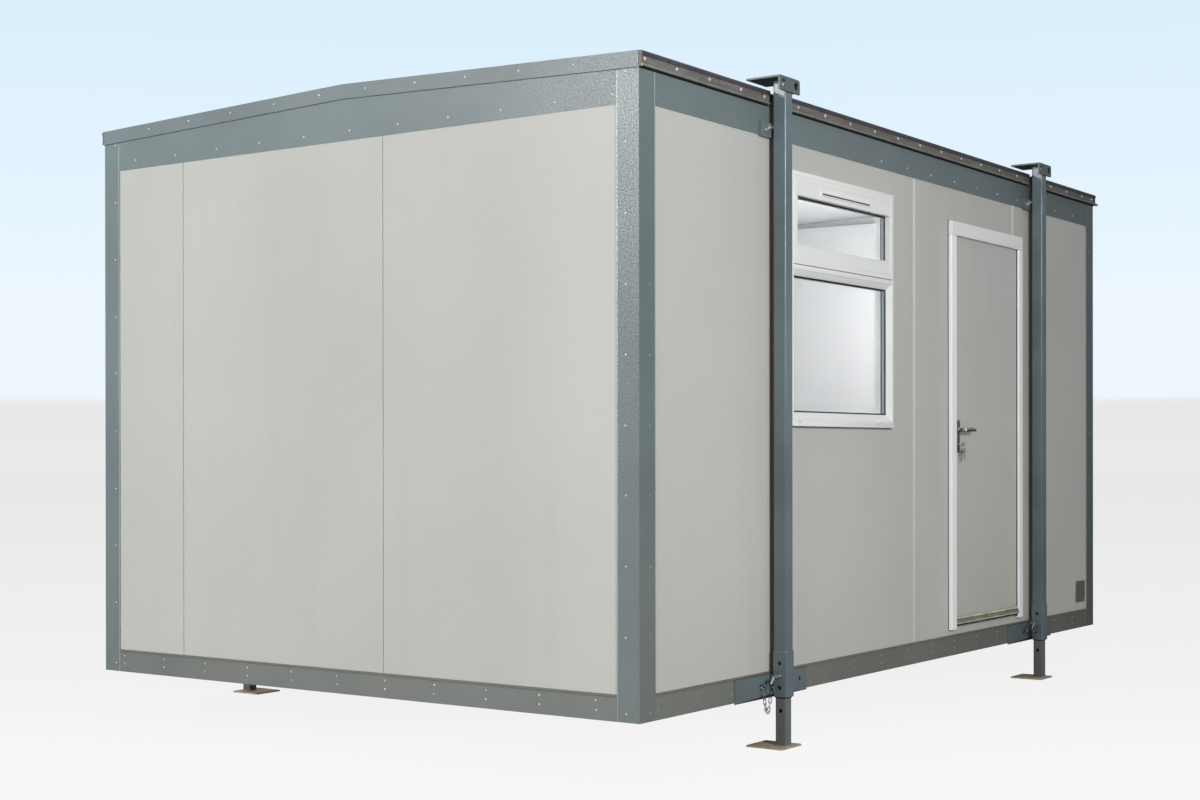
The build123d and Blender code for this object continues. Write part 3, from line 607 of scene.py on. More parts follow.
# ---------------------------------------------------------------- mesh building
class Build:
    def __init__(self):
        self.bm = bmesh.new()
        self.mi = 0

    def join(self, tmp):
        for f in tmp.faces:
            f.material_index = self.mi
        me = bpy.data.meshes.new("tmp")
        tmp.to_mesh(me)
        tmp.free()
        self.bm.from_mesh(me)
        bpy.data.meshes.remove(me)

    def box(self, a, b, r=0.0, seg=2):
        tmp = bmesh.new()
        bmesh.ops.create_cube(tmp, size=1.0)
        c, s = (a + b) / 2, b - a
        for v in tmp.verts:
            v.co = Vector((c.x + v.co.x * s.x, c.y + v.co.y * s.y, c.z + v.co.z * s.z))
        bmesh.ops.recalc_face_normals(tmp, faces=tmp.faces[:])
        if r:
            bmesh.ops.bevel(tmp, geom=tmp.edges[:], offset=r, segments=seg, profile=0.5, affect="EDGES")
        self.join(tmp)

    def lathe(self, c, axis, prof, seg=12, twist=0.0):
        """Surface of revolution: prof is (radius, distance along axis)."""
        axis = Vector(axis).normalized()
        u = axis.orthogonal().normalized()
        w = axis.cross(u)
        tmp = bmesh.new()
        rings = []
        for r, t in prof:
            if r < 1e-7:
                rings.append([tmp.verts.new(c + axis * t)])
            else:
                rings.append([tmp.verts.new(c + axis * t + (u * math.cos(q) + w * math.sin(q)) * r) for q in [twist + 2 * math.pi * k / seg for k in range(seg)]])
        for p, q in zip(rings, rings[1:]):
            for k in range(seg):
                k2 = (k + 1) % seg
                if len(p) == 1 and len(q) == 1:
                    continue
                if len(p) == 1:
                    tmp.faces.new((p[0], q[k2], q[k]))
                elif len(q) == 1:
                    tmp.faces.new((p[k], p[k2], q[0]))
                else:
                    tmp.faces.new((p[k], p[k2], q[k2], q[k]))
        bmesh.ops.recalc_face_normals(tmp, faces=tmp.faces[:])
        self.join(tmp)

    def rivet(self, c, axis, r, h, seg=10):
        self.lathe(c, axis, [(r, -0.0004), (r, h * 0.25), (r * 0.86, h * 0.72), (r * 0.45, h), (0.0, h * 1.02)], seg)

    def tube(self, pts, r, seg=10, closed=False, caps=True, rz=None):
        """Round bar along a path, frames carried along it; rz is not used."""
        pts = [Vector(p) for p in pts]
        n = len(pts)
        tans = []
        for i in range(n):
            if closed:
                t = pts[(i + 1) % n] - pts[i - 1]
            else:
                t = pts[min(i + 1, n - 1)] - pts[max(i - 1, 0)]
            tans.append(t.normalized())
        nrm = tans[0].orthogonal().normalized()
        tmp = bmesh.new()
        rings = []
        for i in range(n):
            nrm = (nrm - tans[i] * nrm.dot(tans[i])).normalized()
            bi = tans[i].cross(nrm)
            rr = r[i] if isinstance(r, (list, tuple)) else r
            rings.append([tmp.verts.new(pts[i] + (nrm * math.cos(a) + bi * math.sin(a)) * rr) for a in [2 * math.pi * k / seg for k in range(seg)]])
        for i in range(n if closed else n - 1):
            p, q = rings[i], rings[(i + 1) % n]
            off = 0
            if closed and i == n - 1:
                off = min(range(seg), key=lambda o: (p[0].co - q[o].co).length)
            for k in range(seg):
                k2 = (k + 1) % seg
                tmp.faces.new((p[k], p[k2], q[(k2 + off) % seg], q[(k + off) % seg]))
        if not closed and caps:
            tmp.faces.new(rings[0][::-1])
            tmp.faces.new(rings[-1])
        bmesh.ops.recalc_face_normals(tmp, faces=tmp.faces[:])
        self.join(tmp)

    def prism(self, outline, place, t):
        """Closed outline of 2D points mapped by place(a, b, t) between two values of t."""
        tmp = bmesh.new()
        lo = [tmp.verts.new(place(a, b, t[0])) for a, b in outline]
        hi = [tmp.verts.new(place(a, b, t[1])) for a, b in outline]
        n = len(outline)
        for k in range(n):
            tmp.faces.new((lo[k], lo[(k + 1) % n], hi[(k + 1) % n], hi[k]))
        tmp.faces.new(lo[::-1])
        tmp.faces.new(hi)
        bmesh.ops.recalc_face_normals(tmp, faces=tmp.faces[:])
        self.join(tmp)

    def ring(self, prof, x0, x1, z0, z1):
        """Mitred rectangular ring in the front wall: prof is a closed loop of (inset, y)."""
        tmp = bmesh.new()
        loops = []
        for d, y in prof:
            loops.append([tmp.verts.new(P(*q)) for q in ((x0 + d, y, z0 + d), (x1 - d, y, z0 + d), (x1 - d, y, z1 - d), (x0 + d, y, z1 - d))])
        n = len(loops)
        for i in range(n):
            p, q = loops[i], loops[(i + 1) % n]
            for k in range(4):
                tmp.faces.new((p[k], p[(k + 1) % 4], q[(k + 1) % 4], q[k]))
        bmesh.ops.recalc_face_normals(tmp, faces=tmp.faces[:])
        self.join(tmp)


def piece(name, b, mats, body="cabin", angle=38.0, smooth=True):
    me = bpy.data.meshes.new(name)
    b.bm.to_mesh(me)
    b.bm.free()
    o = bpy.data.objects.new(name, me)
    for m in (mats if isinstance(mats, (list, tuple)) else [mats]):
        me.materials.append(m)
    if smooth:
        me.shade_smooth()
        me.set_sharp_from_angle(angle=math.radians(angle))
    scene.collection.objects.link(o)
    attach(o, body)
    return o


def smooth_path(pts, per=6):
    """Catmull-Rom through the points."""
    pts = [Vector(p) for p in pts]
    ext = [pts[0] * 2 - pts[1]] + pts + [pts[-1] * 2 - pts[-2]]
    out = []
    for i in range(1, len(ext) - 2):
        p0, p1, p2, p3 = ext[i - 1:i + 3]
        for k in range(per):
            t = k / per
            out.append(0.5 * ((2 * p1) + (p2 - p0) * t + (2 * p0 - 5 * p1 + 4 * p2 - p3) * t * t + (3 * p1 - p0 - 3 * p2 + p3) * t ** 3))
    out.append(pts[-1])
    return out


FRONT, BACK, LEFT, RIGHT = (0, -1, 0), (0, 1, 0), (-1, 0, 0), (1, 0, 0)


def on_side(side, s, z, off=0.0):
    """Point on a wall face: s along it, off metres outside it."""
    if side == FRONT:
        return P(s, -off, z)
    if side == BACK:
        return P(s, WIDTH + off, z)
    if side == LEFT:
        return P(-off, s, z)
    return P(LENGTH + off, s, z)


# ---------------------------------------------------------------- screws and rivets
EAVES, EAVES_MID, ROOF_EDGE, RIDGE = 2.444, 2.491, 2.507, 2.554
slope = (EAVES_MID - EAVES) / (WIDTH / 2)


def jitter(a):
    return random.uniform(-a, a)


# rivet heads on the base trims, corner flanges and near half of the fascias on the front and back walls, and at the
# ends of the gable eaves rows, take a dimmer copy of the rivet colour; the rest take the pale one: painted light
b = Build()
for side in (FRONT, BACK):
    xs = [0.128 + 0.2677 * k for k in range(17)] + [4.622]
    for x in xs:
        for z in (0.0365, 0.0725):
            if any(abs(x - c) < 0.300 for c in (0.977, LENGTH - 0.977)):
                continue
            b.mi = 1
            b.rivet(on_side(side, x + jitter(0.002), z + jitter(0.001)), side, 0.0042 if x < 2.0 else 0.0048, 0.0024)
            b.mi = 0
    for k in range(17):
        x = 0.1233 + 0.2687 * k
        b.mi = 1 if x < 2.0 else 0
        b.rivet(on_side(side, x + jitter(0.002), 2.3535), side, 0.0040 if x < 2.0 else 0.0050, 0.0022)
        b.mi = 0
zs = [0.035, 0.316, 0.5815, 0.8475, 1.113, 1.3785, 1.640, 1.906, 2.171, 2.435]
for side, lo_s, hi_s in ((FRONT, 0.073, LENGTH - 0.069), (BACK, 0.073, LENGTH - 0.073), (LEFT, 0.061, WIDTH - 0.074), (RIGHT, 0.061, WIDTH - 0.061)):
    for s_ in (lo_s, hi_s):
        for z in zs:
            b.mi = 1 if side in (FRONT, BACK) else 0
            b.rivet(on_side(side, s_ + jitter(0.0015), z + jitter(0.003)), side, 0.0042, 0.0024)
            b.mi = 0
for side in (LEFT, RIGHT):
    for k in range(11):
        y = 0.1988 + 0.2668 * k
        for z in (0.0368, 0.0728):
            b.rivet(on_side(side, y + jitter(0.002), z), side, 0.0042, 0.0024)
        y = 0.1215 + 0.2667 * k
        if 0.11 < y < WIDTH - 0.11:
            b.rivet(on_side(side, y + jitter(0.002), 2.3555 + jitter(0.0012)), side, 0.0042, 0.0024)
    for k in range(12):
        y = 0.0295 + 0.2663 * k
        b.mi = 1 if k in (0, 11) else 0
        b.rivet(on_side(side, y + jitter(0.002), 2.4793 + slope * min(y, WIDTH - y), 0.005), side, 0.0042, 0.0024)
        b.mi = 0
piece("trim_screws", b, [RIVET, RIVET_SHADED])

b = Build()
for side in (FRONT, BACK):
    for k in range(20):
        x = 0.0055 + 0.2385 * k
        if x < 0.012:
            x = 0.024
        if any(abs(x - c) < 0.05 for c in (0.977, LENGTH - 0.977)):
            x += 0.07 if x > 0.977 else -0.05
        if x > LENGTH - 0.02:
            continue
        c = on_side(side, x + jitter(0.003), 2.4755 + jitter(0.0015), 0.012)
        b.lathe(c, side, [(0.0078, -0.0005), (0.0078, 0.0006), (0.0058, 0.0012), (0.0056, 0.0028), (0.0034, 0.0046), (0.0, 0.0050)], 12)
    b.lathe(on_side(side, 4.690 if side == FRONT else 0.060, 2.4755, 0.012), side, [(0.0078, -0.0005), (0.0078, 0.0006), (0.0058, 0.0012), (0.0056, 0.0028), (0.0034, 0.0046), (0.0, 0.0050)], 12)
piece("eaves_rivets", b, RIVET)

# ---------------------------------------------------------------- panel joint strips
b = Build()
SEAMS = (1.130, 2.354, 3.554)
for side in (FRONT, BACK):
    for s_ in SEAMS:
        spans = [(0.1035, 2.3165)]
        if side == FRONT and s_ == 1.130:
            spans = [(0.1035, 1.1205), (2.2045, 2.3165)]
        if side == FRONT and s_ == 3.554:
            spans = [(2.1555, 2.3165)]
        for z0, z1 in spans:
            a0 = on_side(side, s_ - 0.0125, z0, -0.0022)
            a1 = on_side(side, s_ + 0.0115, z1, 0.0002)
            lo_c = Vector(map(min, a0, a1))
            hi_c = Vector(map(max, a0, a1))
            b.box(lo_c, hi_c, 0.0008, 2)
piece("panel_joint_strips", b, SEAM)

# ---------------------------------------------------------------- window
WX0, WX1, WZ0, WZ1 = 1.126, 2.095, 1.121, 2.204
gx0, gx1 = WX0 + 0.047, WX1 - 0.047
panes = ((1.1815, 1.7615), (1.891, 2.101))


def loop(d0, d1, ya, yb):
    return [(d0, ya), (d1, ya), (d1, yb), (d0, yb)]


b = Build()
for (z0, z1), yo in zip(panes, (0.006, 0.008)):
    e = 0.004
    b.mi = 0
    b.box(P(gx0 - e, yo, z0 - e), P(gx1 + e, yo + 0.004, z1 + e), 0.0004, 1)
    b.box(P(gx0 - e, yo + 0.016, z0 - e), P(gx1 + e, yo + 0.020, z1 + e), 0.0004, 1)
    b.mi = 1
    b.ring(loop(-0.0030, 0.0040, yo + 0.0042, yo + 0.0158), gx0, gx1, z0, z1)
    b.mi = 2
    b.ring([(-0.0005, yo - 0.0045), (0.0025, yo - 0.0052), (0.0050, yo - 0.0030), (0.0062, yo - 0.0004), (-0.0005, yo - 0.0004)], gx0, gx1, z0, z1)
    b.ring([(-0.0005, yo + 0.0204), (0.0060, yo + 0.0204), (0.0050, yo + 0.0240), (-0.0005, yo + 0.0250)], gx0, gx1, z0, z1)
glazing = piece("window_glazing", b, [GLASS, SPACER, GASKET], angle=30)
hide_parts("window_glass_upper", "window_glass_lower")

# frame with sloping beads round the fixed pane and a rebate for the vent
b = Build()
b.ring([
    (0.0, 0.0004), (0.0, -0.0152), (0.0008, -0.0172), (0.0026, -0.0180), (0.0165, -0.0180), (0.0188, -0.0172),
    (0.0196, -0.0158), (0.0206, -0.0152), (0.0300, -0.0108), (0.0410, -0.0038), (0.0452, -0.0004), (0.0460, 0.0012), (0.0460, 0.0640),
    (0.0165, 0.0640), (0.0165, 0.0004)], WX0, WX1, 1.1355, 1.8075)
b.ring([
    (0.0, 0.0004), (0.0, -0.0152), (0.0008, -0.0170), (0.0026, -0.0178), (0.0193, -0.0178), (0.0193, 0.0072),
    (0.0440, 0.0078), (0.0440, 0.0638), (0.0165, 0.0638), (0.0165, 0.0004)], WX0, WX1, 1.7865, WZ1)
b.box(P(WX0 + 0.0004, -0.0180, 1.1212), P(WX1 - 0.0004, 0.0004, 1.1372), 0.0016, 2)
b.box(P(WX0 + 0.0170, 0.0004, 1.1330), P(WX1 - 0.0170, 0.0630, 1.1390), 0.0008, 1)
frame_piece = piece("window_frame_profiles", b, UPVC, angle=24)
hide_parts("window_frame")

b = Build()
# raised step lines of the frame and sash profiles
b.ring([(0.0195, -0.0206), (0.0200, -0.0216), (0.0212, -0.0222), (0.0225, -0.0214), (0.0228, -0.0206)], WX0 + 0.019, WX1 - 0.019, 1.810, 2.184)
# cill nosing
for z0, z1, yy, cut in ((1.1215, 1.1330, -0.0235, 0.004), (1.1330, 1.1370, -0.0195, 0.006)):
    b.box(P(WX0 + cut, yy, z0), P(WX1 - cut, -0.0170, z1), 0.0018, 2)
# caps over the drain slots
for x in (1.1911, 1.9415):
    b.box(P(x - 0.016, -0.0212, 1.1405), P(x + 0.016, -0.0178, 1.1495), 0.0014, 2)
# canopy of the trickle ventilator
cz = 2.1275
b.prism([(-0.0206, cz + 0.0150), (-0.0262, cz + 0.0125), (-0.0278, cz + 0.0060), (-0.0274, cz + 0.0040), (-0.0206, cz + 0.0040)], lambda y, z, x: P(x, y, z), (1.381, 1.851))
b.prism([(-0.0206, cz - 0.0018), (-0.0240, cz - 0.0018), (-0.0250, cz - 0.0050), (-0.0206, cz - 0.0090)], lambda y, z, x: P(x, y, z), (1.381, 1.851))
for xa, xb in ((1.376, 1.387), (1.842, 1.852)):
    b.box(P(xa, -0.0262, cz - 0.0095), P(xb, -0.0200, cz + 0.0150), 0.0016, 2)
piece("window_trim_details", b, UPVC)

# thin brown sheets in the trickle vent slot and under the drain caps: painted shade of the openings
b = Build()
b.box(P(1.386, -0.0216, cz - 0.0020), P(1.843, -0.0208, cz + 0.0045))
for x in (1.1911, 1.9415):
    b.box(P(x - 0.011, -0.0216, 1.1394), P(x + 0.011, -0.0200, 1.1406), 0.0003, 1)
piece("window_vent_slot", b, metal_material("slot_opening_shade", (104, 84, 62), 0.5, 0.7, metal=0.1, nscale=60.0))

b = Build()
# weather seal bead round the window and door frames, black and wide enough to serve also as the painted shadow gap
# round them
b.ring([(-0.0022, 0.0019), (-0.0022, 0.0004), (0.0006, -0.0012), (0.0020, 0.0004), (0.0020, 0.0019)], WX0, WX1, WZ0, WZ1)
DX0, DX1, DZ0, DZ1 = 2.738, 3.643, 0.132, 2.155
for xa, xb in ((DX0 - 0.0028, DX0 + 0.0014), (DX1 - 0.0014, DX1 + 0.0028)):
    b.box(P(xa, -0.0012, DZ0 - 0.001), P(xb, 0.0019, DZ1 + 0.0028), 0.0005, 1)
b.box(P(DX0 - 0.0028, -0.0012, DZ1 - 0.001), P(DX1 + 0.0028, 0.0019, DZ1 + 0.0028), 0.0005, 1)
# black lip seal of the door, in the rebate; along the head it is made deeper, as the painted shadow line over the leaf
LX0, LX1, LZ0, LZ1 = 2.790, 3.594, 0.179, 2.094
for xa, xb in ((2.7815, 2.7895), (3.5945, 3.5995)):
    b.box(P(xa, -0.0058, LZ0 + 0.004), P(xb, 0.0005, LZ1 + 0.004), 0.001, 2)
b.box(P(2.7815, -0.0058, LZ1 + 0.0004), P(3.5995, 0.0005, LZ1 + 0.0056), 0.001, 2)
piece("weather_seals", b, GASKET)

b = Build()
b.box(P(LX0 + 0.002, -0.0052, LZ1 - 0.0050), P(LX1 - 0.0006, -0.0034, LZ1 + 0.0006), 0.0006, 1)
b.box(P(LX1 - 0.0034, -0.0052, LZ0 + 0.010), P(LX1 + 0.0004, -0.0034, LZ1 - 0.0005), 0.0006, 1)
piece("door_lip_seal", b, GASKET, body="door")

# ---------------------------------------------------------------- door frame details
b = Build()
# end caps of the jambs
for x0, x1 in ((DX0, DX0 + 0.058), (DX1 - 0.058, DX1)):
    b.box(P(x0 - 0.0008, -0.0212, DZ0 - 0.0025), P(x1 + 0.0008, 0.0015, DZ0 + 0.0035), 0.0016, 2)
# step line of the jamb and head profile, next to the leaf
for x0, x1 in ((DX0 + 0.0455, DX0 + 0.0485), (DX1 - 0.0485, DX1 - 0.0455)):
    b.box(P(x0, -0.0212, DZ0 + 0.004), P(x1, -0.0196, DZ1 - 0.060), 0.0007, 2)
b.box(P(DX0 + 0.0455, -0.0212, DZ1 - 0.0600), P(DX1 - 0.0455, -0.0196, DZ1 - 0.0570), 0.0007, 2)
piece("door_frame_details", b, UPVC)

b = Build()
# threshold: sloping nose, ribs, drain keep and end screws, with the bar behind it
cx0, cx1, rx0, rx1 = DX0 + 0.0520, DX1 - 0.0520, DX0 + 0.0370, DX1 - 0.0370
b.mi = 0
b.prism([(-0.0196, 0.1535), (-0.0190, 0.1530), (-0.0095, 0.1530), (-0.0095, 0.1868), (-0.0112, 0.1870), (-0.0120, 0.1862), (-0.0128, 0.1822), (-0.0182, 0.1682), (-0.0196, 0.1668)], lambda y, z, x: P(x, y, z), (cx0 + 0.0004, cx1 - 0.0004))
b.prism([(-0.0095, 0.1522), (0.0655, 0.1522), (0.0655, 0.1728), (-0.0095, 0.1728)], lambda y, z, x: P(x, y, z), (rx0 + 0.0004, rx1 - 0.0004))
for y, z in ((-0.0188, 0.1665), (-0.0168, 0.1718), (-0.0147, 0.1772)):
    b.box(P(cx0 + 0.004, y - 0.0010, z - 0.0004), P(cx1 - 0.004, y + 0.0010, z + 0.0017), 0.0005, 1)
b.lathe(P(3.197, -0.0178, 0.1722), (0, -0.9, 0.45), [(0.0, -0.001), (0.0100, -0.001), (0.0100, 0.0014), (0.0078, 0.0022), (0.0044, 0.0022), (0.0038, 0.0010), (0.0, 0.0009)], 16)
for x in (cx0 + 0.012, cx1 - 0.012):
    b.rivet(P(x, -0.0184, 0.1700), (0, -0.9, 0.45), 0.0050, 0.0022, 12)
# black bar under the nose: painted shadow under the drip
b.mi = 1
b.box(P(cx0, -0.0160, 0.1458), P(cx1, -0.0010, 0.1531))
# darker band along the slope of the nose: painted shade
b.mi = 2
b.prism([(-0.0178, 0.1698), (-0.0183, 0.1701), (-0.0146, 0.1796), (-0.0141, 0.1792)], lambda y, z, x: P(x, y, z), (cx0 + 0.001, cx1 - 0.001))
# light strips along the top edge and the foot of the nose: painted highlights
b.mi = 3
b.prism([(-0.0138, 0.1800), (-0.0143, 0.1802), (-0.0134, 0.1824), (-0.0126, 0.1866), (-0.0119, 0.1862), (-0.0128, 0.1822)], lambda y, z, x: P(x, y, z), (cx0 + 0.001, cx1 - 0.001))
b.prism([(-0.0194, 0.1540), (-0.0204, 0.1545), (-0.0204, 0.1592), (-0.0194, 0.1598)], lambda y, z, x: P(x, y, z), (cx0 + 0.001, cx1 - 0.001))
thr = piece("threshold_profiles", b, [SILL, GASKET, SILL_SHADE, SILL_HIGHLIGHT])
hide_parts("door_threshold")

# ---------------------------------------------------------------- lever, plates, cylinder and keys
SPX, SPZ = 2.840, 1.120
ly0, ly1 = -0.004, 0.056


def arc_path(p_list, radii, steps=7):
    """Polyline with rounded corners."""
    out = [Vector(p_list[0])]
    for i in range(1, len(p_list) - 1):
        a, c, d = Vector(p_list[i - 1]), Vector(p_list[i]), Vector(p_list[i + 1])
        u, v = (a - c).normalized(), (d - c).normalized()
        r = radii[i - 1]
        ang = u.angle(v)
        t = r / math.tan(ang / 2)
        s0, s1 = c + u * t, c + v * t
        for k in range(steps + 1):
            f = k / steps
            out.append(s0 * (1 - f) ** 2 + c * 2 * f * (1 - f) + s1 * f ** 2)
    out.append(Vector(p_list[-1]))
    return out


b = Build()
for sgn, face in ((-1, ly0 - 0.005), (1, ly1 + 0.005)):
    yo = (ly0 - 0.0455) if sgn < 0 else (ly1 + 0.0455)
    path = arc_path([P(SPX, face, SPZ), P(SPX, yo, SPZ), P(SPX + 0.085, yo, SPZ + 0.0015), P(SPX + 0.119, yo - sgn * 0.006, SPZ - 0.0005)], [0.0165, 0.03])
    rad = []
    for i, p in enumerate(path):
        f = i / (len(path) - 1)
        rad.append(0.0094 + 0.0012 * math.sin(min(1.0, f * 1.3) * math.pi))
    b.tube(path, rad, 16)
    b.lathe(path[-1], path[-1] - path[-2], [(rad[-1], -0.0002), (rad[-1] * 0.88, 0.0035), (rad[-1] * 0.5, 0.0062), (0.0, 0.0070)], 16)
    b.lathe(P(SPX, face, SPZ), (0, sgn, 0), [(0.0, 0.0), (0.0145, 0.0), (0.0145, 0.0052), (0.0128, 0.0072), (0.0, 0.0074)], 24)
b.tube([P(SPX, ly0 - 0.005, SPZ), P(SPX, ly1 + 0.005, SPZ)], 0.0045, 4)
lever = piece("lever_handles", b, STEEL, body="lever", angle=50)
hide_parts("door_lever")

b = Build()
for sgn, face in ((-1, ly0 - 0.005), (1, ly1 + 0.005)):
    for z in (SPZ + 0.036, SPZ - 0.100):
        c = P(SPX, face, z)
        b.lathe(c, (0, sgn, 0), [(0.0048, -0.0002), (0.0048, 0.0008), (0.0036, 0.0018), (0.0, 0.0021)], 14)
    # profile cylinder: round top, narrow foot
    out = []
    for k in range(19):
        a = math.radians(-52 + 284 * k / 18)
        out.append((0.0085 * math.cos(a), 0.0085 * math.sin(a)))
    out += [(-0.0050, -0.0230), (-0.0032, -0.0255), (0.0, -0.0262), (0.0032, -0.0255), (0.0050, -0.0230)]
    cz_ = SPZ - 0.072
    b.prism(out, lambda a_, z_, y_: P(SPX + a_, y_, cz_ + z_), (face, face + sgn * 0.0062))
    b.lathe(P(SPX, face + sgn * 0.0062, cz_), (0, sgn, 0), [(0.0068, -0.0002), (0.0066, 0.0012), (0.0, 0.0014)], 20)
piece("lock_details", b, STEEL, body="door", angle=40)

b = Build()
# key in the cylinder, a ring and two more keys hanging from it
kc = P(SPX, ly0 - 0.0110, SPZ - 0.072)
b.box(kc + Vector((-0.0011, -0.0120, -0.0040)), kc + Vector((0.0011, 0.0, 0.0040)), 0.0004, 1)


def bow(b, c, u, v, w, r=0.0115, t=0.0021):
    """Key bow: a pierced disc in the plane of u and v."""
    tmp = bmesh.new()
    seg = 22
    lo_o, lo_i, hi_o, hi_i = [], [], [], []
    for k in range(seg):
        a = 2 * math.pi * k / seg
        rr = r * (1.0 + 0.10 * math.cos(3 * a))
        po = c + u * (rr * math.cos(a)) + v * (rr * math.sin(a))
        pi_ = c + u * (r * 0.30 * math.cos(a) + r * 0.42) + v * (r * 0.30 * math.sin(a))
        for lst, p, s_ in ((lo_o, po, -1), (hi_o, po, 1), (lo_i, pi_, -1), (hi_i, pi_, 1)):
            lst.append(tmp.verts.new(p + w * (s_ * t / 2)))
    for k in range(seg):
        k2 = (k + 1) % seg
        tmp.faces.new((lo_o[k], lo_o[k2], hi_o[k2], hi_o[k]))
        tmp.faces.new((lo_i[k], hi_i[k], hi_i[k2], lo_i[k2]))
        tmp.faces.new((lo_o[k2], lo_o[k], lo_i[k], lo_i[k2]))
        tmp.faces.new((hi_o[k], hi_o[k2], hi_i[k2], hi_i[k]))
    bmesh.ops.recalc_face_normals(tmp, faces=tmp.faces[:])
    b.join(tmp)


bow(b, kc + Vector((0, -0.0215, 0)), Vector((0, -1, 0)), Vector((0, 0, 1)), Vector((1, 0, 0)))
ring_c = kc + Vector((0.0, -0.0150, -0.0105))
b.tube([ring_c + Vector((0.0055 * math.sin(a), -0.0135 * math.sin(a), 0.0145 * math.cos(a))) for a in [2 * math.pi * k / 22 for k in range(22)]], 0.0010, 6, closed=True)
for off, ang, yaw, ln in (((0.0010, 0.0030, -0.0135), 0.05, 0.25, 0.046), ((0.0, -0.0080, -0.0105), -0.03, 0.55, 0.040)):
    d = Vector((0.0, math.sin(ang), -math.cos(ang)))
    flat = Vector((-math.sin(yaw), -math.cos(yaw), 0))
    side_v = flat.cross(d).normalized()
    top = ring_c + Vector(off)
    bow(b, top + d * 0.0085, -d, side_v, flat, 0.0108, 0.0020)
    tmp = bmesh.new()
    shaft = [(-0.0040, 0.017), (0.0040, 0.017), (0.0040, 0.021)]
    for k in range(6):
        shaft += [(0.0040, 0.0215 + k * ln * 0.13), (0.0020, 0.0228 + k * ln * 0.13)]
    shaft += [(0.0014, 0.017 + ln * 0.9), (0.0, 0.017 + ln), (-0.0040, 0.017 + ln * 0.92)]
    lo_v = [tmp.verts.new(top + side_v * a_ + d * t_ - flat * 0.0010) for a_, t_ in shaft]
    hi_v = [tmp.verts.new(top + side_v * a_ + d * t_ + flat * 0.0010) for a_, t_ in shaft]
    n = len(shaft)
    for k in range(n):
        tmp.faces.new((lo_v[k], lo_v[(k + 1) % n], hi_v[(k + 1) % n], hi_v[k]))
    tmp.faces.new(lo_v[::-1])
    tmp.faces.new(hi_v)
    bmesh.ops.recalc_face_normals(tmp, faces=tmp.faces[:])
    b.join(tmp)
piece("door_keys", b, BRASS, body="door", angle=30)

# ---------------------------------------------------------------- legs
LEGS = []
for back in (False, True):
    for c in (0.977, LENGTH - 0.977):
        LEGS.append((c, back))


TDX = 0.007


def leg_point(c, back, dx, y, z):
    """dx along the wall from the leg centre, to the right as one faces that wall."""
    if back:
        return P(c - dx, WIDTH - y, z)
    return P(c + dx, y, z)


def leg_dir(back, dx, y, z):
    return Vector((-dx, -y, z)) if back else Vector((dx, y, z))


b = Build()
for c, back in LEGS:
    out = leg_dir(back, 0, -1, 0)
    for sx in (-1, 1):
        for dx, z, y in ((0.038, 2.353, -0.014), (0.066, 2.338, -0.014)):
            q = leg_point(c, back, sx * dx + TDX * 0.6, y, z)
            b.lathe(q, out, [(0.0, 0.0), (0.0120, 0.0), (0.0120, 0.0018), (0.0, 0.0018)], 18)
            b.lathe(q, out, [(0.0, 0.0016), (0.0098, 0.0016), (0.0098, 0.0068), (0.0088, 0.0078), (0.0, 0.0080)], 6, twist=0.3 + dx * 20)
            b.lathe(q, out, [(0.0048, 0.0070), (0.0048, 0.0130), (0.0040, 0.0140), (0.0, 0.0141)], 12)
        q = leg_point(c, back, sx * 0.0068 + TDX, -0.019, 2.357)
        b.lathe(q, leg_dir(back, sx, 0, 0), [(0.0, 0.0), (0.0085, 0.0), (0.0085, 0.0060), (0.0076, 0.0070), (0.0, 0.0072)], 6, twist=0.2)
piece("clamp_bolts", b, ZINC, angle=30)

b = Build()
rad_s = 0.0335
for c, back in LEGS:
    # weld beads: top of the sleeve and foot of the inner tube
    for half, zz, rr, skip in ((0.0300, 0.1872, 0.0034, False), (0.0250, -0.2012, 0.0034, False)):
        pts = []
        rc = 0.007 if half > 0.027 else 0.006
        n = 9
        for qx, qy, a0 in ((1, 1, 0), (-1, 1, 90), (-1, -1, 180), (1, -1, 270)):
            for k in range(n):
                a = math.radians(a0 + 90 * k / (n - 1))
                pts.append((qx * (half - rc) + rc * math.cos(a), qy * (half - rc) + rc * math.sin(a)))
        dense = []
        for i in range(len(pts)):
            p0, p1 = Vector((*pts[i], 0)), Vector((*pts[(i + 1) % len(pts)], 0))
            m_ = max(1, int((p1 - p0).length / 0.005))
            for k in range(m_):
                dense.append(p0.lerp(p1, k / m_))
        path = [leg_point(c, back, p.x + TDX, -0.056 + p.y, zz) for p in dense]
        b.tube(path, [rr * (0.86 + 0.28 * random.random()) for _ in path], 7, closed=True)
piece("leg_welds", b, LEG, angle=60)

b = Build()
for c, back in LEGS:
    # near-black ring under each sleeve and discs inside the bolt holes: painted shade of the gap and the holes
    half, rc, pts, n = 0.0262, 0.006, [], 7
    for qx, qy, a0 in ((1, 1, 0), (-1, 1, 90), (-1, -1, 180), (1, -1, 270)):
        for k in range(n):
            a = math.radians(a0 + 90 * k / (n - 1))
            pts.append((qx * (half - rc) + rc * math.cos(a), qy * (half - rc) + rc * math.sin(a)))
    b.tube([leg_point(c, back, px + TDX, -0.056 + py, -0.0026) for px, py in pts], 0.0027, 6, closed=True)
    for sx in (-1, 1):
        for z in (0.139, 0.038):
            b.lathe(leg_point(c, back, sx * 0.0290 + TDX, -0.056, z), leg_dir(back, sx, 0, 0), [(0.0, 0.0018), (0.0090, 0.0018), (0.0090, 0.0), (0.0, 0.0)], 20)
    b.lathe(leg_point(c, back, 0.238, -0.0005, 0.047), leg_dir(back, 0, -1, 0), [(0.0, 0.0022), (0.0088, 0.0022), (0.0088, 0.0), (0.0, 0.0)], 20)
piece("leg_hole_and_sleeve_gap_shade", b, DARK, angle=30)
b = Build()
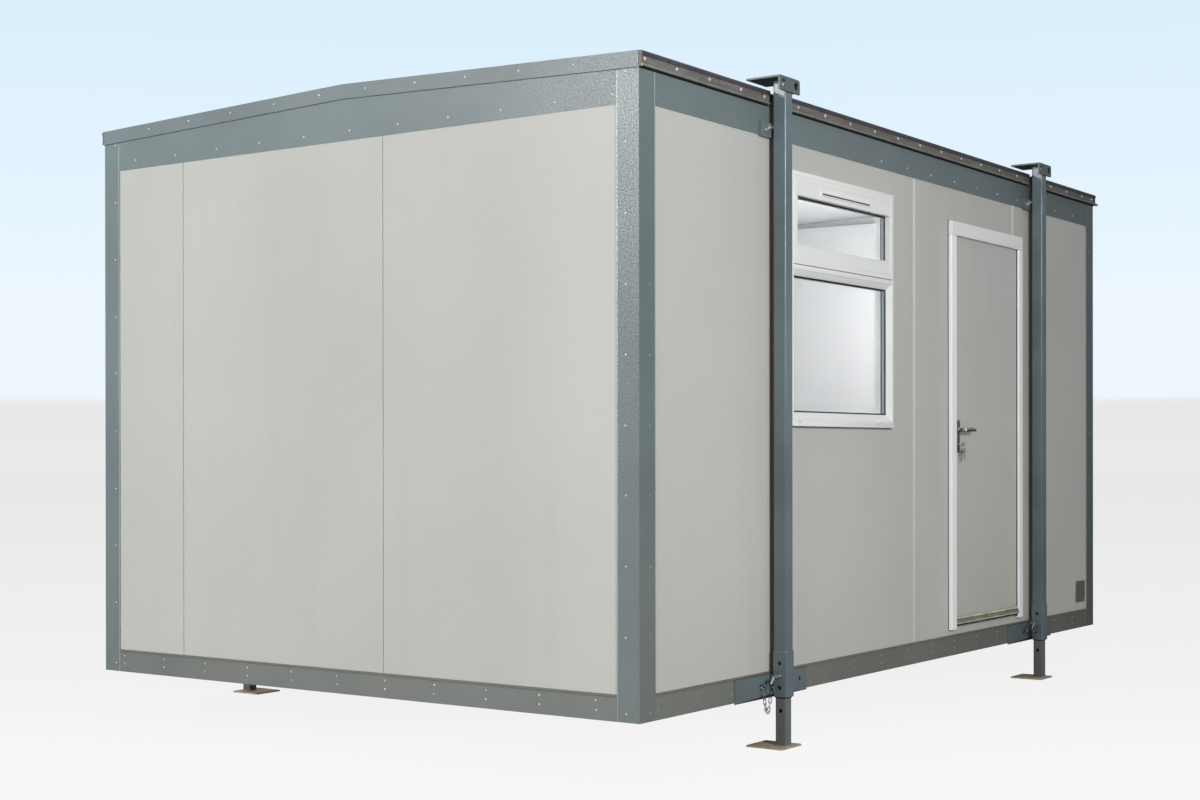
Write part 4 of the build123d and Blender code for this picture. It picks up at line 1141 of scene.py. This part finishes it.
for c, back in LEGS:
    b.lathe(leg_point(c, back, -0.238, -0.0005, 0.047), leg_dir(back, 0, -1, 0), [(0.0, 0.0052), (0.0070, 0.0056), (0.0086, 0.0050), (0.0094, 0.0040), (0.0094, 0.0), (0.0, 0.0)], 20)
piece("bracket_plugs", b, LEG, angle=30)

# chains of real links, with an eye on the bracket plate and one on the pin
b = Build()
b2 = Build()
for c, back in LEGS:
    # the chain hangs to the left of every leg, as one faces its wall
    sgn = -1

    def q_(dx, y, z):
        return leg_point(c, back, sgn * dx + TDX, y, z)

    route = [q_(0.099, -0.020, 0.038), q_(0.100, -0.021, 0.012), q_(0.098, -0.024, -0.015), q_(0.0965, -0.028, -0.045), q_(0.0935, -0.032, -0.0615), q_(0.0905, -0.037, -0.048), q_(0.0890, -0.044, -0.010), q_(0.0880, -0.050, 0.030), q_(0.0890, -0.055, 0.066)]
    if not back and c > 2:
        # this chain is taken up round the handle of its pin
        route = [q_(0.099, -0.020, 0.038), q_(0.0965, -0.026, 0.056), q_(0.0900, -0.036, 0.080), q_(0.0800, -0.050, 0.0985), q_(0.0720, -0.066, 0.0900), q_(0.0690, -0.0700, 0.060), q_(0.0690, -0.0690, 0.028), q_(0.0760, -0.0620, 0.0125), q_(0.0840, -0.057, 0.026), q_(0.0870, -0.055, 0.046), q_(0.0890, -0.055, 0.066)]
    path = smooth_path(route, 10)
    cum = [0.0]
    for i in range(1, len(path)):
        cum.append(cum[-1] + (path[i] - path[i - 1]).length)
    total = cum[-1]
    nlinks = 11
    pitch = total / nlinks
    wire = 0.0017
    L = pitch + 2 * wire * 1.55
    W = 0.0112

    def at(s_):
        s_ = max(0.0, min(total, s_))
        for i in range(1, len(path)):
            if cum[i] >= s_:
                f = (s_ - cum[i - 1]) / max(1e-9, cum[i] - cum[i - 1])
                return path[i - 1].lerp(path[i], f)
        return path[-1]

    for k in range(nlinks):
        m0, m1 = at(k * pitch), at((k + 1) * pitch)
        mid = (m0 + m1) / 2
        t = (m1 - m0).normalized()
        out = leg_dir(back, 0, -1, 0)
        side_v = (out - t * out.dot(t)).normalized()
        other = t.cross(side_v)
        tw = 0.5 if k % 2 else 0.5 + math.pi / 2
        wv = side_v * math.cos(tw) + other * math.sin(tw)
        r_ = W / 2
        hs = L / 2 - r_
        loop_pts = []
        for j in range(9):
            a = -math.pi / 2 + math.pi * j / 8
            loop_pts.append(mid + t * (hs + r_ * math.cos(a)) + wv * (r_ * math.sin(a)))
        for j in range(9):
            a = math.pi / 2 + math.pi * j / 8
            loop_pts.append(mid + t * (-hs + r_ * math.cos(a)) + wv * (r_ * math.sin(a)))
        b.tube(loop_pts, wire, 8, closed=True)
    # eye on the bracket plate
    e = q_(0.099, -0.018, 0.046)
    out = leg_dir(back, 0, -1, 0)
    b2.tube([e + Vector((0, 0, 0.0095 * math.cos(a))) + out * (0.0095 * math.sin(a)) for a in [2 * math.pi * k / 18 for k in range(18)]], 0.0026, 8, closed=True)
    b2.lathe(q_(0.099, -0.006, 0.047), out, [(0.0, 0.0), (0.0130, 0.0), (0.0130, 0.0022), (0.0105, 0.0032), (0.0, 0.0034)], 20)
    # handle of the pin: round bar that droops towards the chain
    base = q_(0.0835, -0.056, 0.086)
    tip = q_(0.1020, -0.0545, 0.0590)
    b2.tube(arc_path([q_(0.036, -0.056, 0.086), base, tip], [0.010]), 0.0066, 12)
    b2.lathe(q_(0.0338, -0.056, 0.086), leg_dir(back, sgn, 0, 0), [(0.0, 0.0), (0.0115, 0.0), (0.0115, 0.0022), (0.0, 0.0024)], 20)
    er = q_(0.0900, -0.055, 0.0740)
    dirx = leg_dir(back, sgn, 0, 0)
    b2.tube([er + Vector((0, 0, 0.0098 * math.cos(a))) + out * (0.0098 * math.sin(a)) for a in [2 * math.pi * k / 18 for k in range(18)]], 0.0017, 8, closed=True)
chain = piece("pin_chain_links", b, LINK, angle=60)
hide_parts("pin_chains")
piece("pin_handles", b2, LINK, angle=40)

# ---------------------------------------------------------------- data plate, bare
b = Build()
x0, x1, z0, z1 = 4.471, 4.616, 0.146, 0.269
b.ring([(0.0, 0.0006), (0.0, -0.0004), (0.0012, -0.0010), (0.0030, -0.0004), (0.0030, 0.0006)], x0, x1, z0, z1)
for x in (x0 + 0.009, x1 - 0.009):
    for z in (z0 + 0.009, z1 - 0.009):
        b.rivet(P(x, 0.0002, z), FRONT, 0.0030, 0.0018, 12)
piece("data_plate_rim", b, ZINC)

# ---------------------------------------------------------------- verge flashings
b = Build()
ym = WIDTH / 2
for x_a, x_b, x_c in ((-0.0050, -0.0020, 0.0110), (LENGTH + 0.0020, LENGTH + 0.0050, LENGTH - 0.0110)):
    front_o = [(-0.0006, EAVES + 0.0006), (ym, EAVES_MID + 0.0004), (WIDTH + 0.0006, EAVES + 0.0006), (WIDTH + 0.0006, ROOF_EDGE - 0.0012), (ym, RIDGE - 0.0012), (-0.0006, ROOF_EDGE - 0.0012)]
    b.prism(front_o, lambda y, z, x: P(x, y, z), (x_a, x_b))
    lo_x, hi_x = min(x_a, x_b, x_c), max(x_a, x_b, x_c)
    top_o = [(-0.0006, ROOF_EDGE - 0.0028), (ym, RIDGE - 0.0028), (WIDTH + 0.0006, ROOF_EDGE - 0.0028), (WIDTH + 0.0006, ROOF_EDGE), (ym, RIDGE), (-0.0006, ROOF_EDGE)]
    b.prism(top_o, lambda y, z, x: P(x, y, z), (lo_x + 0.0010, hi_x - 0.0010))
    # folded hem along the lower edge
    xo = x_a - 0.0009 if x_a < 0 else x_b + 0.0009
    xi = x_a + 0.0004 if x_a < 0 else x_b - 0.0004
    hem_o = [(-0.0006, EAVES + 0.0006), (ym, EAVES_MID + 0.0004), (WIDTH + 0.0006, EAVES + 0.0006), (WIDTH + 0.0006, EAVES + 0.0050), (ym, EAVES_MID + 0.0048), (-0.0006, EAVES + 0.0050)]
    b.prism(hem_o, lambda y, z, x: P(x, y, z), (min(xo, xi), max(xo, xi)))
verge = piece("verge_flashings", b, VERGE, angle=30)
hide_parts("verge_trims")

# ---------------------------------------------------------------- roof
b = Build()
rz = RIDGE - 0.005
k_ = (RIDGE - ROOF_EDGE) / (WIDTH / 2 - 0.001)
w_ = 0.115
for sy in (-1, 1):
    yc = WIDTH / 2
    prof = [(yc, rz + 0.0036), (yc + sy * 0.020, rz + 0.0032 - k_ * 0.020), (yc + sy * w_, rz + 0.0026 - k_ * w_), (yc + sy * (w_ + 0.004), rz - 0.0012 - k_ * w_), (yc + sy * w_, rz + 0.0006 - k_ * w_), (yc, rz + 0.0016)]
    b.prism(prof, lambda y, z, x: P(x, y, z), (0.012, LENGTH - 0.012))
    for k in range(17):
        x = 0.16 + k * (LENGTH - 0.32) / 16
        b.rivet(P(x, yc + sy * (w_ - 0.024), rz + 0.0028 - k_ * (w_ - 0.024)), (0, sy * k_, 1), 0.0046, 0.0016)
    # laps of the roof sheets at the panel pitch
    for xs_ in SEAMS:
        y0_, y1_ = yc + sy * (w_ + 0.006), yc + sy * (WIDTH / 2 - 0.004)
        n = 2
        tmp = bmesh.new()
        sec = [(-0.022, 0.0002), (-0.020, 0.0016), (-0.006, 0.0024), (0.0, 0.0032), (0.006, 0.0024), (0.020, 0.0016), (0.022, 0.0002)]
        rings_ = []
        for y_ in (y0_, y1_):
            zz = rz - k_ * abs(y_ - yc)
            rings_.append([tmp.verts.new(P(xs_ + a_, y_, zz + h_)) for a_, h_ in sec])
        for i in range(len(sec) - 1):
            tmp.faces.new((rings_[0][i], rings_[0][i + 1], rings_[1][i + 1], rings_[1][i]))
        tmp.faces.new(rings_[0])
        tmp.faces.new(rings_[1])
        tmp.faces.new((rings_[0][0], rings_[1][0], rings_[1][-1], rings_[0][-1]))
        bmesh.ops.recalc_face_normals(tmp, faces=tmp.faces[:])
        b.join(tmp)
        for j in range(6):
            y_ = y0_ + (y1_ - y0_) * (j + 0.5) / 6
            b.rivet(P(xs_, y_, rz - k_ * abs(y_ - yc) + 0.0030), (0, sy * k_, 1), 0.0046, 0.0022)
piece("roof_ridge_cap_and_laps", b, ROOF)

# folded hem under the edge of the roof sheet, and closure plates at the ends of the strips
b = Build()
for side in (FRONT, BACK):
    gaps = [0.977, LENGTH - 0.977]
    cuts = [c + (TDX if side == FRONT else -TDX) for c in gaps]
    spans = [(-0.0010, cuts[0] - 0.034), (cuts[0] + 0.034, cuts[1] - 0.034), (cuts[1] + 0.034, LENGTH + 0.0010)]
    for xa, xb in spans:
        sg = 1 if side == FRONT else -1
        y0_ = 0.0 if side == FRONT else WIDTH
        b.prism([(y0_ - sg * 0.0169, 2.4892), (y0_ - sg * 0.0158, 2.4884), (y0_ - sg * 0.0124, 2.4890), (y0_ - sg * 0.0122, 2.4944), (y0_ - sg * 0.0170, 2.4944)], lambda y, z, x: P(x, y, z), (xa, xb))
piece("roof_sheet_hems", b, SHEET_EDGE, angle=30)
b = Build()
for side in (FRONT, BACK):
    sg = 1 if side == FRONT else -1
    y0_ = 0.0 if side == FRONT else WIDTH
    for xa, xb in ((-0.0026, -0.0012), (LENGTH + 0.0012, LENGTH + 0.0026)):
        b.prism([(y0_ - sg * 0.0128, 2.4470), (y0_ - sg * 0.0004, 2.4455), (y0_ - sg * 0.0004, 2.5052), (y0_ - sg * 0.0165, 2.5040), (y0_ - sg * 0.0170, 2.4930), (y0_ - sg * 0.0128, 2.4915)], lambda y, z, x: P(x, y, z), (xa, xb))
piece("strip_end_plates", b, END_PLATE, angle=30)
b = Build()
b.box(P(LENGTH - 0.0200, -0.0146, 2.4530), P(LENGTH + 0.0008, -0.0118, 2.4884), 0.0010, 2)
b.box(P(-0.0008, WIDTH + 0.0118, 2.4530), P(0.0200, WIDTH + 0.0146, 2.4884), 0.0010, 2)
piece("strip_end_wraps", b, RUST, angle=30)

# black line under the eaves strips: painted shadow
b = Build()
for side in (FRONT, BACK):
    sg = 1 if side == FRONT else -1
    y0_ = 0.0 if side == FRONT else WIDTH
    cuts = [c + (TDX if side == FRONT else -TDX) for c in (0.977, LENGTH - 0.977)]
    for xa, xb in ((0.002, cuts[0] - 0.036), (cuts[0] + 0.036, cuts[1] - 0.036), (cuts[1] + 0.036, LENGTH - 0.002)):
        b.prism([(y0_ - sg * 0.0010, 2.4430), (y0_ - sg * 0.0030, 2.4430), (y0_ - sg * 0.0070, 2.4450), (y0_ - sg * 0.0070, 2.4478), (y0_ - sg * 0.0010, 2.4478)], lambda y, z, x: P(x, y, z), (xa, xb))
piece("eaves_shadow_lines", b, DARK, angle=30)

# open end of the drip bead, past the right-hand verge
b = Build()
for side_y, dy in ((-0.0135, 1), (WIDTH + 0.0135, -1)):
    cc = P(LENGTH + 0.0052, side_y, 2.453)
    b.lathe(cc, (1, 0, 0), [(0.0, 0.0), (0.0078, 0.0), (0.0078, 0.0030), (0.0048, 0.0042), (0.0048, 0.0180), (0.0066, 0.0190), (0.0066, 0.0235), (0.0040, 0.0240), (0.0034, 0.0120), (0.0, 0.0118)], 18)
piece("drip_ends", b, BEAD)


# ---------------------------------------------------------------- floor and light
def floor():
    """Plain white studio floor: it glows faintly to the colour of the backdrop and takes a light shadow."""
    me = bpy.data.meshes.new("studio_floor")
    bm = bmesh.new()
    bmesh.ops.create_grid(bm, x_segments=1, y_segments=1, size=90.0)
    bm.to_mesh(me)
    bm.free()
    o = bpy.data.objects.new("studio_floor", me)
    m = Mat("studio_floor")
    sep_ = m.n("ShaderNodeSeparateXYZ")
    m.t.links.new(m.coord.outputs["Object"], sep_.inputs[0])
    far = m.math("ADD", m.math("MULTIPLY", m.math("ADD", sep_.outputs[0], 8.008), syaw), m.math("MULTIPLY", m.math("ADD", sep_.outputs[1], 5.290), cyaw))
    inv = m.math("DIVIDE", 1.0, m.math("MAXIMUM", far, 3.0))
    tone = m.ramp(m.math("MULTIPLY", inv, 5.0), [(0.0, lin((233, 233, 233))), (0.108, lin((235, 235, 235))), (0.2425, lin((238, 238, 238))), (0.42, lin((240.5, 240.5, 240.5))), (0.556, lin((243, 243, 243))), (0.65, lin((246, 246, 246)))])
    em = m.n("ShaderNodeEmission")
    m.put(em.inputs[0], tone)
    em.inputs[1].default_value = 0.972
    m.set(color=(0.03, 0.03, 0.03, 1.0), rough=1.0, spec=0.0)
    add = m.n("ShaderNodeAddShader")
    m.t.links.new(em.outputs[0], add.inputs[0])
    m.t.links.new(m.b.outputs[0], add.inputs[1])
    m.t.links.new(add.outputs[0], m.out.inputs[0])
    me.materials.append(m.m)
    scene.collection.objects.link(o)
    o.visible_diffuse = False
    o.visible_glossy = False
    o.visible_shadow = False


floor()

world = bpy.data.worlds.new("studio")
scene.world = world
world.use_nodes = True
wt = world.node_tree
wt.nodes.clear()
wout = wt.nodes.new("ShaderNodeOutputWorld")
tc = wt.nodes.new("ShaderNodeTexCoord")
sep = wt.nodes.new("ShaderNodeSeparateXYZ")
wt.links.new(tc.outputs["Generated"], sep.inputs[0])
wr = wt.nodes.new("ShaderNodeValToRGB")
mul = wt.nodes.new("ShaderNodeMath")
mul.operation = "MULTIPLY"
mul.inputs[1].default_value = 4.0
wt.links.new(sep.outputs[2], mul.inputs[0])
wt.links.new(mul.outputs[0], wr.inputs[0])
els = wr.color_ramp.elements
stops = [(0.0, (234, 234, 234)), (0.006, (233, 233, 233)), (0.0244, (232, 232, 232)), (0.0268, (233, 235, 238)), (0.0284, (238, 245, 249)), (0.0312, (239, 247, 254)), (0.0792, (238, 247, 254)), (0.1049, (232, 245, 254)), (0.1304, (230, 244, 253)), (0.1554, (226, 242, 253)), (0.1800, (224, 242, 254)), (0.2037, (222, 240, 254)), (0.2270, (217, 239, 252))]
while len(els) < len(stops):
    els.new(0.5)
for e, (p_, c_) in zip(els, stops):
    e.position = p_ * 4.0
    e.color = lin(c_)
bg_see = wt.nodes.new("ShaderNodeBackground")
wt.links.new(wr.outputs[0], bg_see.inputs[0])
bg_see.inputs[1].default_value = 1.0
bg_lit = wt.nodes.new("ShaderNodeBackground")
bg_lit.inputs[0].default_value = lin((240, 244, 249))
below = wt.nodes.new("ShaderNodeMapRange")
wt.links.new(sep.outputs[2], below.inputs["Value"])
below.inputs["From Min"].default_value = -0.3
below.inputs["From Max"].default_value = 0.1
below.inputs["To Min"].default_value = 0.38
below.inputs["To Max"].default_value = 0.265
wt.links.new(below.outputs[0], bg_lit.inputs[1])
# what polished surfaces reflect: a bright sky on the gable side, dimmer past the door end and near the ground
dot = wt.nodes.new("ShaderNodeVectorMath")
dot.operation = "DOT_PRODUCT"
wt.links.new(tc.outputs["Generated"], dot.inputs[0])
dot.inputs[1].default_value = (-0.8, 0.6, 0.0)
azim = wt.nodes.new("ShaderNodeMapRange")
wt.links.new(dot.outputs["Value"], azim.inputs["Value"])
azim.inputs["From Min"].default_value = -1.0
azim.inputs["To Min"].default_value = 0.45
azim.inputs["To Max"].default_value = 1.25
elev = wt.nodes.new("ShaderNodeMapRange")
wt.links.new(sep.outputs[2], elev.inputs["Value"])
elev.inputs["From Min"].default_value = -0.12
elev.inputs["From Max"].default_value = 0.28
elev.inputs["To Min"].default_value = 0.15
elev.inputs["To Max"].default_value = 0.95
sheen = wt.nodes.new("ShaderNodeMath")
sheen.operation = "MULTIPLY"
wt.links.new(azim.outputs[0], sheen.inputs[0])
wt.links.new(elev.outputs[0], sheen.inputs[1])
bg_gloss = wt.nodes.new("ShaderNodeBackground")
bg_gloss.inputs[0].default_value = lin((232, 242, 252))
wt.links.new(sheen.outputs[0], bg_gloss.inputs[1])
lp = wt.nodes.new("ShaderNodeLightPath")
mixg = wt.nodes.new("ShaderNodeMixShader")
wt.links.new(lp.outputs["Is Glossy Ray"], mixg.inputs[0])
wt.links.new(bg_lit.outputs[0], mixg.inputs[1])
wt.links.new(bg_gloss.outputs[0], mixg.inputs[2])
mixw = wt.nodes.new("ShaderNodeMixShader")
wt.links.new(lp.outputs["Is Camera Ray"], mixw.inputs[0])
wt.links.new(mixg.outputs[0], mixw.inputs[1])
wt.links.new(bg_see.outputs[0], mixw.inputs[2])
wt.links.new(mixw.outputs[0], wout.inputs[0])


def area(name, loc, target, size, power, color=(1, 1, 1), glossy=True):
    d = bpy.data.lights.new(name, "AREA")
    d.shape = "RECTANGLE"
    d.size, d.size_y = size
    d.energy = power
    d.color = color
    o = bpy.data.objects.new(name, d)
    o.location = loc
    o.rotation_euler = (Vector(target) - Vector(loc)).to_track_quat("-Z", "Y").to_euler()
    o.visible_camera = False
    o.visible_transmission = False
    o.visible_glossy = glossy
    scene.collection.objects.link(o)
    return o


def lamp(name, loc, radius, power, color=(1, 1, 1)):
    d = bpy.data.lights.new(name, "POINT")
    d.shadow_soft_size = radius
    d.energy = power
    d.color = color
    o = bpy.data.objects.new(name, d)
    o.location = loc
    o.visible_camera = False
    o.visible_transmission = False
    o.visible_glossy = False
    scene.collection.objects.link(o)
    return o


area("key_front", (-4.3, -7.1, 3.2), (-0.6, -1.5, 1.2), (1.1, 1.1), 276, (1.0, 0.995, 0.98))
area("key_gable", (-11.3, 3.8, 4.0), (-2.4, 0.0, 1.4), (4, 4), 440, (1.0, 1.0, 0.99), glossy=False)
area("glint", (-11.1, 3.8, 5.1), (-2.4, -1.0, 2.3), (1.1, 1.1), 290)
area("side", (-11.6, -3.4, 3.0), (-2.4, -1.5, 1.4), (2.5, 2.5), 105, (1.0, 1.0, 0.99))
area("top", (0.0, 0.0, 9.0), (0.0, 0.0, 0.0), (9, 9), 260)
lamp("room_left", (-1.25, -0.55, 2.05), 0.3, 37)
lamp("room_middle", (0.25, -0.55, 2.05), 0.3, 37)
lamp("room_right", (1.6, -0.4, 2.05), 0.3, 27)
lamp("reveal", (-0.75, -1.15, 1.75), 0.05, 2.5)
